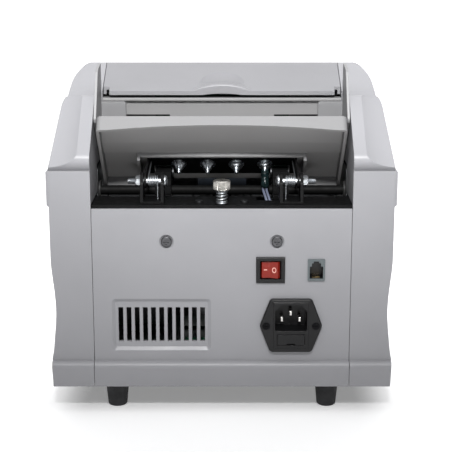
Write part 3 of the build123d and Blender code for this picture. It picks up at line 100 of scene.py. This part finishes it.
def add_stage():
    """A dim pale sky, a pale floor and the three lamps."""
    world = bpy.data.worlds.new("studio")
    world.use_nodes = True
    sky = world.node_tree.nodes["Background"]
    sky.inputs["Color"].default_value = (0.96, 0.98, 1.0, 1)
    sky.inputs["Strength"].default_value = 0.10
    scene.world = world
    mesh = bpy.data.meshes.new("floor")
    far = 12.0
    corners = [(-far, -far, 0), (far, -far, 0), (far, far, 0), (-far, far, 0)]
    mesh.from_pydata(corners, [], [(0, 1, 2, 3)])
    floor = bpy.data.objects.new("floor", mesh)
    scene.collection.objects.link(floor)
    mesh.materials.append(floor_material())
    add_ceiling()
    add_spot("key", (0.0, 1.15, 1.22), (0.0, 0.12, 0.744), 50.0, 0.28, 150.0)
    add_spot("front_fill", (0.0, 1.9, 0.10), (0.0, 0.12, 0.762), 44.0, 0.27, 55.0, 0.25)


# ---------------------------------------------------------------- materials
class Shader:
    """A node material on the Principled shader, with a few short ways to add nodes."""

    def __init__(self, name):
        self.material = bpy.data.materials.new(name)
        self.material.use_nodes = True
        self.tree = self.material.node_tree
        self.bsdf = self.tree.nodes["Principled BSDF"]
        self.place = self.node("ShaderNodeTexCoord").outputs["Object"]

    def node(self, kind, **values):
        made = self.tree.nodes.new(kind)
        for key, value in values.items():
            if hasattr(made, key):
                setattr(made, key, value)
            else:
                made.inputs[key.replace("_", " ")].default_value = value
        return made

    def link(self, a, b):
        self.tree.links.new(a, b)

    def noise(self, scale, detail=2.0, stretch=(1, 1, 1)):
        """Noise in the piece's own metres, which runs in lines when it is stretched."""
        place = self.place
        if stretch != (1, 1, 1):
            mapping = self.node("ShaderNodeMapping")
            mapping.inputs["Scale"].default_value = stretch
            self.link(place, mapping.inputs["Vector"])
            place = mapping.outputs["Vector"]
        noise = self.node("ShaderNodeTexNoise", Scale=scale, Detail=detail)
        self.link(place, noise.inputs["Vector"])
        return noise.outputs["Fac"]

    def ramp(self, factor, stops):
        """Colours at positions from 0 to 1 along a factor."""
        ramp = self.node("ShaderNodeValToRGB")
        elements = ramp.color_ramp.elements
        while len(elements) < len(stops):
            elements.new(0.5)
        for element, (position, color) in zip(elements, stops):
            element.position = position
            element.color = (*color, 1)
        self.link(factor, ramp.inputs["Fac"])
        return ramp.outputs["Color"]

    def span(self, factor, low, high):
        """Maps 0.25-0.75 of a noise to low-high."""
        spread = self.node("ShaderNodeMapRange")
        spread.inputs["From Min"].default_value = 0.25
        spread.inputs["From Max"].default_value = 0.75
        spread.inputs["To Min"].default_value = low
        spread.inputs["To Max"].default_value = high
        self.link(factor, spread.inputs["Value"])
        return spread.outputs["Result"]

    def color(self, socket):
        self.link(socket, self.bsdf.inputs["Base Color"])

    def roughness(self, socket):
        self.link(socket, self.bsdf.inputs["Roughness"])

    def bump(self, height, distance, edge=None):
        """A bump; with edge, on top of sharp edges that look rounded to that radius in metres."""
        bump = self.node("ShaderNodeBump", Strength=1.0, Distance=distance)
        self.link(height, bump.inputs["Height"])
        if edge:
            bevel = self.node("ShaderNodeBevel", samples=4)
            bevel.inputs["Radius"].default_value = edge
            self.link(bevel.outputs["Normal"], bump.inputs["Normal"])
        return bump.outputs["Normal"]

    def normal(self, socket):
        self.link(socket, self.bsdf.inputs["Normal"])


def shade(color, factor):
    return tuple(min(1.0, c * factor) for c in color)


def plastic(name, color, rough=0.5, grain=0.00002, contrast=0.04, edge=0.0005, gloss=0.5):
    """Moulded plastic: a fine spark-eroded grain, faint flow marks and slightly uneven gloss."""
    s = Shader(name)
    s.bsdf.inputs["Specular IOR Level"].default_value = gloss
    flow = s.noise(14.0, 3.0)
    s.color(s.ramp(flow, [(0.3, shade(color, 1 - contrast)), (0.7, shade(color, 1 + contrast))]))
    s.roughness(s.span(s.noise(60.0, 3.0), rough - 0.05, rough + 0.05))
    s.normal(s.bump(s.noise(2600.0, 1.0), grain, edge=edge))
    return s.material


def metal(name, color, rough=0.28, scratch=(1, 1, 1), depth=0.000008):
    """Plated or machined metal with fine tool marks and uneven brightness."""
    s = Shader(name)
    s.bsdf.inputs["Metallic"].default_value = 1.0
    s.color(s.ramp(s.noise(300.0, 4.0), [(0.3, shade(color, 0.8)), (0.7, shade(color, 1.1))]))
    s.roughness(s.span(s.noise(500.0, 3.0, scratch), rough - 0.08, rough + 0.1))
    s.normal(s.bump(s.noise(900.0, 4.0, scratch), depth))
    return s.material


def painted(name, color, rough=0.45, gloss=0.25):
    """Powder coat: orange-peel texture over a dark pigment."""
    s = Shader(name)
    s.bsdf.inputs["Specular IOR Level"].default_value = gloss
    s.color(s.ramp(s.noise(180.0, 3.0), [(0.3, shade(color, 0.75)), (0.7, shade(color, 1.3))]))
    s.roughness(s.span(s.noise(220.0, 3.0), rough - 0.06, rough + 0.08))
    s.normal(s.bump(s.noise(1500.0, 2.0), 0.00003, edge=0.0003))
    return s.material


def rubber(name, color, rough=0.7, gloss=0.35):
    """Moulded rubber: cloudy, matt and finely pitted."""
    s = Shader(name)
    s.bsdf.inputs["Specular IOR Level"].default_value = gloss
    s.color(s.ramp(s.noise(90.0, 5.0), [(0.3, shade(color, 0.7)), (0.7, shade(color, 1.35))]))
    s.roughness(s.span(s.noise(400.0, 3.0), rough - 0.1, rough + 0.1))
    s.normal(s.bump(s.noise(1800.0, 3.0), 0.00004))
    return s.material


def floor_material():
    """Near-white matt floor that glows a little, so that its far part stays white."""
    s = Shader("floor")
    s.color(s.ramp(s.noise(2.0, 2.0), [(0.3, (0.92, 0.92, 0.925)), (0.7, (0.94, 0.94, 0.945))]))
    s.bsdf.inputs["Roughness"].default_value = 0.9
    s.bsdf.inputs["Specular IOR Level"].default_value = 0.1
    s.bsdf.inputs["Emission Color"].default_value = (1, 1, 1, 1)
    s.bsdf.inputs["Emission Strength"].default_value = 0.25
    return s.material


def tray_material():
    """Grey plastic, with the underside painted paler as painted light from the bounce that falls on it."""
    s = Shader("tray_plastic")
    # Painted light: faces turned towards the underside get a paler grey, on top of a random tone.
    lit_underside_mask = s.node("ShaderNodeVectorMath", operation="DOT_PRODUCT")
    s.link(s.node("ShaderNodeTexCoord").outputs["Normal"], lit_underside_mask.inputs[0])
    lit_underside_mask.inputs[1].default_value = (0.0, 0.68, -0.73)
    tone_and_lit_underside = s.node("ShaderNodeMath", operation="MULTIPLY_ADD")
    s.link(s.noise(14.0, 3.0), tone_and_lit_underside.inputs[0])
    tone_and_lit_underside.inputs[1].default_value = 0.1
    s.link(lit_underside_mask.outputs["Value"], tone_and_lit_underside.inputs[2])
    stops = [(0.0, (0.165, 0.165, 0.168)), (0.6, (0.175, 0.175, 0.178)), (0.95, (0.30, 0.295, 0.295))]
    s.color(s.ramp(tone_and_lit_underside.outputs[0], stops))
    s.roughness(s.span(s.noise(60.0, 3.0), 0.40, 0.50))
    s.normal(s.bump(s.noise(2600.0, 1.0), 0.00002, edge=0.0005))
    return s.material


def jack_material():
    """Grey-green moulded frame, painted darker deeper into the socket as the shade inside its opening."""
    s = Shader("jack_plastic")
    along = s.node("ShaderNodeSeparateXYZ")
    s.link(s.place, along.inputs[0])
    wobble = s.node("ShaderNodeMath", operation="MULTIPLY_ADD")
    s.link(s.noise(90.0, 3.0), wobble.inputs[0])
    wobble.inputs[1].default_value = 0.0003
    s.link(along.outputs["Y"], wobble.inputs[2])
    # Painted shade: the colour fades to near black with depth into the socket.
    depth = s.node("ShaderNodeMapRange")
    depth.inputs["From Min"].default_value = 0.1190
    depth.inputs["From Max"].default_value = 0.1212
    s.link(wobble.outputs[0], depth.inputs["Value"])
    s.color(s.ramp(depth.outputs["Result"], [(0.0, (0.004, 0.004, 0.005)), (0.6, (0.075, 0.09, 0.095))]))
    s.roughness(s.span(s.noise(200.0, 3.0), 0.35, 0.5))
    s.normal(s.bump(s.noise(1500.0, 2.0), 0.00002, edge=0.0003))
    return s.material


def sleeve_material():
    """Dark translucent heat-shrink sleeve."""
    s = Shader("heat_shrink")
    s.color(s.ramp(s.noise(240.0, 3.0), [(0.3, (0.008, 0.02, 0.022)), (0.7, (0.03, 0.06, 0.062))]))
    s.roughness(s.span(s.noise(150.0, 3.0), 0.08, 0.2))
    s.bsdf.inputs["Transmission Weight"].default_value = 0.7
    s.bsdf.inputs["IOR"].default_value = 1.45
    s.normal(s.bump(s.noise(260.0, 2.0), 0.0002))
    return s.material


# Shafts, bushes, rollers and plates stand in the shade behind the tray, so their colours are dark.
MATERIALS = {
    "casing_plastic": plastic("casing_plastic", (0.228, 0.228, 0.241), 0.40),
    "cover_plastic": plastic("cover_plastic", (0.175, 0.175, 0.185), 0.40),
    "tray_plastic": tray_material(),
    "guide_plastic": plastic("guide_plastic", (0.20, 0.20, 0.205), 0.45),
    "black_sheet": painted("black_sheet", (0.0028, 0.0028, 0.003), 0.45, 0.12),
    # Painted shade: both steels are near black, standing in for the shade behind the tray, not for the
    # metal's own colour.
    "steel_sheet": metal("steel_sheet", (0.07, 0.072, 0.075), 0.5, (8, 1, 1)),
    "bright_steel": metal("bright_steel", (0.07, 0.072, 0.075), 0.5, (1, 12, 12)),
    "zinc_plate": metal("zinc_plate", (0.74, 0.78, 0.82), 0.27),
    # Painted shade: a darker copy of the zinc plating, used on the hinge bolts.
    "shaded_bolt_zinc": metal("shaded_bolt_zinc", (0.42, 0.44, 0.46), 0.36),
    "nickel": metal("nickel", (0.50, 0.485, 0.455), 0.3),
    "dark_fastener": metal("dark_fastener", (0.09, 0.09, 0.095), 0.4),
    "blackened_screw": metal("blackened_screw", (0.012, 0.012, 0.013), 0.4),
    "black_oxide_shaft": painted("black_oxide_shaft", (0.003, 0.003, 0.003), 0.6, 0.1),
    "foot_rubber": rubber("foot_rubber", (0.014, 0.014, 0.0155), 0.6),
    "roller_rubber": rubber("roller_rubber", (0.003, 0.003, 0.0032), 0.8, 0.1),
    # Painted shade: the blue rollers are darkened to near black for the shade behind the tray's notch.
    "roller_blue": rubber("roller_blue", (0.008, 0.011, 0.016)),
    "black_plastic": plastic("black_plastic", (0.005, 0.005, 0.0055), 0.34, contrast=0.2, gloss=0.28),
    "jack_plastic": jack_material(),
    "rocker_red": plastic(
        "rocker_red", (0.19, 0.012, 0.006), 0.25, grain=0.000004, contrast=0.06, gloss=0.35
    ),
    "rocker_mark": plastic("rocker_mark", (0.75, 0.42, 0.36), 0.35, edge=None),
    "brass": metal("brass", (0.72, 0.53, 0.25), 0.25),
    "pin_nickel": metal("pin_nickel", (0.70, 0.69, 0.66), 0.22),
    "impeller_plastic": plastic("impeller_plastic", (0.05, 0.16, 0.28), 0.4),
    # Painted shade: the white bushes are near black for the shade they stand in.
    "white_plastic": plastic("white_plastic", (0.02, 0.02, 0.02), 0.5, gloss=0.15),
    "belt_rubber": rubber("belt_rubber", (0.02, 0.02, 0.02)),
    "wire_insulation": plastic("wire_insulation", (0.13, 0.145, 0.20), 0.3, edge=None),
    "heat_shrink": sleeve_material(),
    # Painted shade: the board behind the vent slots is darkened for the shade inside the casing.
    "circuit_board": plastic("circuit_board", (0.008, 0.05, 0.025), 0.35, contrast=0.3),
    "motor_paint": painted("motor_paint", (0.03, 0.03, 0.032)),
    "transformer_core": metal("transformer_core", (0.12, 0.10, 0.09), 0.5, (1, 1, 30)),
    "glass_tube": plastic("glass_tube", (0.6, 0.63, 0.65), 0.1),
    "display_window": plastic("display_window", (0.01, 0.015, 0.02), 0.08, grain=0.0),
    "key_plastic": plastic("key_plastic", (0.08, 0.10, 0.14), 0.5),
    "spring_steel": metal("spring_steel", (0.40, 0.42, 0.44), 0.40),
}


def dress_nodes():
    """Gives every carried-over CAD node the material of its slot; the inlet screws are blackened."""
    for part in frame["record"]["subparts"]:
        materials = NODES[part["node"]].data.materials
        materials.clear()
        materials.append(MATERIALS[part["material_slot"]])
    NODES["inlet_screws"].data.materials[0] = MATERIALS["blackened_screw"]


# ---------------------------------------------------------------- making pieces
MM = 0.001  # pieces are made in millimetres and scaled to metres
HINGE = Vector((0.0, 99.0, 188.0))  # axis on which the tray tilts
TRAY_RIM = Vector((0.0, 102.2, 229.8))
TRAY_END = Vector((0.0, 38.0, 170.0))
ALONG_TRAY = (TRAY_END - TRAY_RIM).normalized()
OUT_OF_TRAY = Vector((0.0, ALONG_TRAY.z, -ALONG_TRAY.y))
STRIP_U = 61.5  # row of nuts on the strip under the tray, from the tray's rear rim
NUT_X = (36.0, 12.0, -12.0, -36.0)
LUG_N = -0.9  # top of the ring lug, above the tray's rim plane
SCREW_Y = 111.0  # axis of the feed-gap screw and its spring
COIL_STEPS = 28  # straight pieces in one turn of spring wire


def tray_point(u, n, x=0.0):
    """A point in millimetres, u along the tray from its rear rim and n above its rim plane."""
    return TRAY_RIM + ALONG_TRAY * u + OUT_OF_TRAY * n + Vector((x, 0, 0))


def new_piece(name, bm, slot, smooth_below=35.0):
    """A mesh piece made in millimetres, shaded smooth except at edges sharper than the angle."""
    bmesh.ops.recalc_face_normals(bm, faces=bm.faces)
    bm.transform(Matrix.Scale(MM, 4))
    limit = math.radians(smooth_below)
    for face in bm.faces:
        face.smooth = True
    for edge in bm.edges:
        edge.smooth = len(edge.link_faces) == 2 and edge.calc_face_angle(0.0) < limit
    mesh = bpy.data.meshes.new(name)
    bm.to_mesh(mesh)
    bm.free()
    obj = bpy.data.objects.new(name, mesh)
    scene.collection.objects.link(obj)
    mesh.materials.append(MATERIALS[slot])
    return obj


def frame_at(origin, axis, side=Vector((1, 0, 0))):
    """A matrix with its Z along axis and its X as near to side as it can be."""
    z = Vector(axis).normalized()
    x = (side - z * side.dot(z)).normalized() if abs(side.dot(z)) < 0.99 else z.orthogonal().normalized()
    y = z.cross(x)
    turn = Matrix((x, y, z)).transposed().to_4x4()
    return Matrix.Translation(origin) @ turn


def skin(bm, rings, closed=False):
    """Faces between rings of vertices, with end caps, or closed from the last ring to the first."""
    following = rings[1:] + rings[:1] if closed else rings[1:]
    for low, high in zip(rings, following):
        for i in range(len(low)):
            j = (i + 1) % len(low)
            bm.faces.new((low[i], low[j], high[j], high[i]))
    if not closed:
        bm.faces.new(reversed(rings[0]))
        bm.faces.new(rings[-1])


def lathe(bm, profile, axes, segments=48, shape=None):
    """Turns a (radius, height) profile; shape(angle, radius, height) may change each radius."""
    rings = []
    for radius, height in profile:
        ring = []
        for i in range(segments):
            angle = 2 * math.pi * i / segments
            r = shape(angle, radius, height) if shape else radius
            ring.append(bm.verts.new(axes @ Vector((r * math.cos(angle), r * math.sin(angle), height))))
        rings.append(ring)
    skin(bm, rings)


def threaded(bm, axes, radius, pitch, start, end, depth=0.35, segments=24):
    """A screw thread between two heights, with a chamfer at its far end."""
    steps = max(2, int((end - start) / pitch * 6))
    profile = [(radius, start + (end - start) * i / steps) for i in range(steps + 1)]

    def ridge(angle, r, height):
        phase = (height / pitch - angle / (2 * math.pi)) % 1.0
        groove = depth * (1.0 - abs(2 * phase - 1.0))
        chamfer = max(0.0, 0.7 - (end - height))
        return r - min(groove + chamfer, depth + 0.45)

    lathe(bm, profile, axes, segments, ridge)


def tube(bm, points, radius, sides=10):
    """A round bar along a list of points, closed at both ends."""
    normal = (points[1] - points[0]).orthogonal().normalized()
    rings = []
    for i, point in enumerate(points):
        tangent = (points[min(i + 1, len(points) - 1)] - points[max(i - 1, 0)]).normalized()
        normal = (normal - tangent * normal.dot(tangent)).normalized()
        other = tangent.cross(normal)
        ring = []
        for k in range(sides):
            angle = 2 * math.pi * k / sides
            ring.append(bm.verts.new(point + (normal * math.cos(angle) + other * math.sin(angle)) * radius))
        rings.append(ring)
    skin(bm, rings)


def smooth_path(points, steps=8):
    """A Catmull-Rom curve through the points."""
    ends = [points[0] * 2 - points[1]] + points + [points[-1] * 2 - points[-2]]
    path = []
    for i in range(1, len(ends) - 2):
        a, b, c, d = ends[i - 1:i + 3]
        for k in range(steps):
            t = k / steps
            path.append(
                0.5 * ((2 * b) + (c - a) * t + (2 * a - 5 * b + 4 * c - d) * t * t
                       + (3 * b - a - 3 * c + d) * t * t * t)
            )
    path.append(points[-1])
    return path


def tooth(angle, count):
    """A triangle wave from 1 to 0 and back, count times round the circle."""
    return abs((angle * count / (2 * math.pi)) % 1.0 * 2 - 1.0)


def hexagon(radius_across_corners):
    """For lathe: turns a round section into a hexagonal one, and leaves narrower parts round."""
    flat = radius_across_corners * math.cos(math.pi / 6)

    def shape(angle, r, height):
        inside = (angle % (math.pi / 3)) - math.pi / 6
        return min(r, flat / math.cos(inside))

    return shape


# ---------------------------------------------------------------- springs
def torsion_spring(side):
    """Open turns of wire on the hinge, one leg in the base plate and one under the strip."""
    r = 4.05
    turns = 5.25
    inner_x = 51.3
    length = 7.4
    points = [Vector((inner_x, HINGE.y + r, 170.2 + 1.4 * i)) for i in range(12)]
    count = int(turns * COIL_STEPS)
    for i in range(count + 1):
        t = i / count
        angle = 2 * math.pi * turns * t
        points.append(
            Vector((inner_x + length * t, HINGE.y + r * math.cos(angle), HINGE.z + r * math.sin(angle)))
        )
    last = points[-1]
    top = tray_point(56.0, 6.7, inner_x + length)
    points += [last.lerp(top, k / 8) for k in range(1, 9)]
    bm = bmesh.new()
    tube(bm, [Vector((side * p.x, p.y, p.z)) for p in points], 0.5, 10)
    name = "right_torsion_spring" if side > 0 else "left_torsion_spring"
    piece = new_piece(name + "_wire", bm, "spring_steel", 60.0)
    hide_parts(name)
    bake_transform(piece)


def gap_spring():
    """Compression spring under the thumb screw, with closed end turns."""
    r = 3.9
    turns = 5.5
    count = int(turns * COIL_STEPS)
    points = []
    for i in range(count + 1):
        t = i / count
        rise = 0.5 * t + 0.5 * (t - math.sin(2 * math.pi * t) / (2 * math.pi))
        angle = 2 * math.pi * turns * t
        points.append(Vector((r * math.cos(angle), SCREW_Y + r * math.sin(angle), 172.7 + 9.9 * rise)))
    bm = bmesh.new()
    tube(bm, points, 0.65, 10)
    piece = new_piece("gap_spring_wire", bm, "spring_steel", 60.0)
    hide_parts("gap_spring")
    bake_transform(piece)


# ---------------------------------------------------------------- fasteners
def gap_screw():
    """Thumb screw with a straight-knurled head and a threaded stem."""
    bm = bmesh.new()
    upright = frame_at(Vector((0, SCREW_Y, 0)), (0, 0, 1))
    profile = [
        (4.4, 183.6), (6.3, 183.6), (6.9, 184.2), (6.95, 184.6), (6.95, 190.2),
        (6.9, 190.6), (6.3, 191.2), (2.0, 191.2),
    ]

    def knurl(angle, r, height):
        return r - (0.42 * tooth(angle, 40) if 184.4 < height < 190.4 else 0.0)

    lathe(bm, profile, upright, 240, knurl)
    threaded(bm, upright, 2.5, 0.8, 147.0, 183.6)
    lathe(bm, [(3.4, 144.5), (3.6, 144.7), (3.6, 146.3), (3.4, 146.5)], upright, 32)
    lathe(bm, [(1.9, 140.2), (1.9, 147.2)], upright, 24)
    piece = new_piece("gap_screw_knurled", bm, "nickel", 40.0)
    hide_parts("gap_screw")
    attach(piece, "gap_screw")


def strip_nut(index, x):
    """Flanged nut on the strip under the tray: two faceted cones and two domes, with screw tips."""
    bm = bmesh.new()
    axes = frame_at(tray_point(STRIP_U, 7.7, x), -OUT_OF_TRAY)

    def facets(angle, r, height):
        return r - (0.9 * tooth(angle, 6) * r / 5.6 if 1.4 < height < 6.0 else 0.0)

    if index < 2:
        cone = [
            (6.2, 0.0), (6.6, 0.3), (6.6, 0.9), (6.2, 1.2), (5.6, 1.5), (4.6, 3.2), (3.4, 5.4), (2.5, 6.4),
        ]
        lathe(bm, cone, axes, 72, facets)
    else:
        flange = [(6.2, 0.0), (6.6, 0.3), (6.6, 0.9), (6.0, 1.3)]
        lathe(bm, flange, axes, 64)
        dome = [
            (5.4, 1.2), (5.35, 2.0), (5.0, 3.0), (4.4, 3.9), (3.5, 4.7), (2.9, 5.1), (2.7, 6.4), (2.3, 6.6),
        ]
        lathe(bm, dome, axes, 64)
    threaded(bm, axes, 1.95, 0.8, 6.0, 9.7, 0.3)
    lathe(bm, [(2.0, -1.8), (2.0, 0.1)], axes, 24)
    piece = new_piece("strip_nut_%d" % (index + 1), bm, "zinc_plate", 28.0)
    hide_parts("bracket_bolts")
    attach(piece, "hopper_tray")


def hinge_bolt(side):
    """Button-head bolt through a clevis, its nut and its thread; a faint raised hexagon marks its head."""
    bm = bmesh.new()
    axes = frame_at(HINGE, (side, 0, 0), Vector((0, 0, 1)))
    dome = [
        (4.4, 46.2), (4.75, 45.9), (4.75, 45.4), (4.5, 44.7), (3.9, 44.0), (3.0, 43.55), (1.75, 43.4),
    ]
    lathe(bm, dome, axes, 48)
    lathe(bm, [(1.72, 43.3), (1.72, 43.42)], axes, 48, hexagon(1.7))
    lathe(bm, [(2.5, 46.1), (2.5, 65.2)], axes, 32)
    nut = [(4.0, 65.0), (4.6, 65.4), (4.6, 68.5), (4.0, 69.0), (2.4, 69.0)]
    lathe(bm, nut, axes, 72, hexagon(4.6))
    threaded(bm, axes, 2.45, 0.8, 68.8, 75.4)
    piece = new_piece(("right" if side > 0 else "left") + "_hinge_bolt", bm, "zinc_plate", 30.0)
    # The hinge bolts take the darker, painted-shade copy of the zinc plating.
    piece.data.materials[0] = MATERIALS["shaded_bolt_zinc"]
    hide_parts("hinge_bolts")
    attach(piece, "housing")


# ---------------------------------------------------------------- ground lead
def ground_lug():
    """Crimped barrel of the lug under the fourth nut, inside its heat-shrink sleeve."""
    downward = frame_at(tray_point(STRIP_U, LUG_N, NUT_X[3]), (0, 0, -1))

    def flattened(angle, r, height):
        return r * (1.0 - 0.12 * math.sin(angle) ** 2) + 0.12 * math.sin(3 * angle + height)

    bm = bmesh.new()
    profile = [
        (2.3, -1.6), (3.1, -1.2), (3.4, 0.0), (3.3, 2.5), (3.0, 4.0),
        (3.3, 6.5), (3.45, 9.5), (3.3, 12.0), (3.0, 12.5),
    ]
    lathe(bm, profile, downward, 40, flattened)
    sleeve = new_piece("ground_lug_sleeve", bm, "heat_shrink", 50.0)
    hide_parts("ground_lug")
    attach(sleeve, "hopper_tray")
    bm = bmesh.new()
    crimp = [(1.9, -1.0), (2.2, 0.5), (2.0, 4.0), (1.6, 5.0), (2.1, 6.0), (2.2, 9.5)]
    lathe(bm, crimp, downward, 24, flattened)
    barrel = new_piece("ground_lug_barrel", bm, "zinc_plate", 40.0)
    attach(barrel, "hopper_tray")


def ground_lead():
    """Two insulated wires from the lug down through the base plate."""
    start = tray_point(STRIP_U, LUG_N, NUT_X[3]) - Vector((0, 0, 11.5))
    bm = bmesh.new()
    for dx in (-1.35, 1.35):
        way = [
            (dx, 0.0, 0.0), (dx, 0.0, -4.0), (dx - 1.6, 0.4, -9.0), (dx - 3.4, 2.6, -15.0),
            (dx - 3.6, 7.5, -22.0), (dx - 2.8, 12.5, -27.0), (dx - 2.0, 16.0, -30.0),
        ]
        tube(bm, smooth_path([start + Vector(w) for w in way]), 1.1, 12)
    wires = new_piece("ground_lead_wires", bm, "wire_insulation", 60.0)
    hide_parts("ground_lead")
    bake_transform(wires)


# ---------------------------------------------------------------- rocker marks
def rocker_axes(half):
    """Axes on the outer face of one half of the rocker, tilted as it is at rest."""
    rocker = Matrix.Translation((-39.0, 117.2, 120.0)) @ Matrix.Rotation(math.radians(-10.0), 4, "Z")
    outward = Vector((-half * 1.7, 6.3, 0))
    return rocker @ frame_at(Vector((half * 3.5, 3.54, 0)), outward, Vector((0, 0, 1)))


def rocker_marks():
    """Raised line and ring on the two halves of the power rocker."""
    line_axes = rocker_axes(1)
    bm = bmesh.new()
    bmesh.ops.create_cube(bm, size=1.0, matrix=line_axes @ Matrix.Diagonal((0.75, 2.6, 0.3, 1)))
    ring_axes = rocker_axes(-1)
    rings = []
    for radius, height in ((1.25, -0.15), (1.25, 0.15), (1.8, 0.15), (1.8, -0.15)):
        ring = []
        for k in range(32):
            angle = 2 * math.pi * k / 32
            point = Vector((1.25 * radius * math.cos(angle), radius * math.sin(angle), height))
            ring.append(bm.verts.new(ring_axes @ point))
        rings.append(ring)
    skin(bm, rings, closed=True)
    marks = new_piece("rocker_marks", bm, "white_plastic")
    marks.data.materials[0] = MATERIALS["rocker_mark"]
    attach(marks, "power_rocker")


add_camera()
add_stage()
dress_nodes()
for side in (1, -1):
    torsion_spring(side)
    hinge_bolt(side)
gap_spring()
gap_screw()
for index, x in enumerate(NUT_X):
    strip_nut(index, x)
ground_lug()
ground_lead()
rocker_marks()
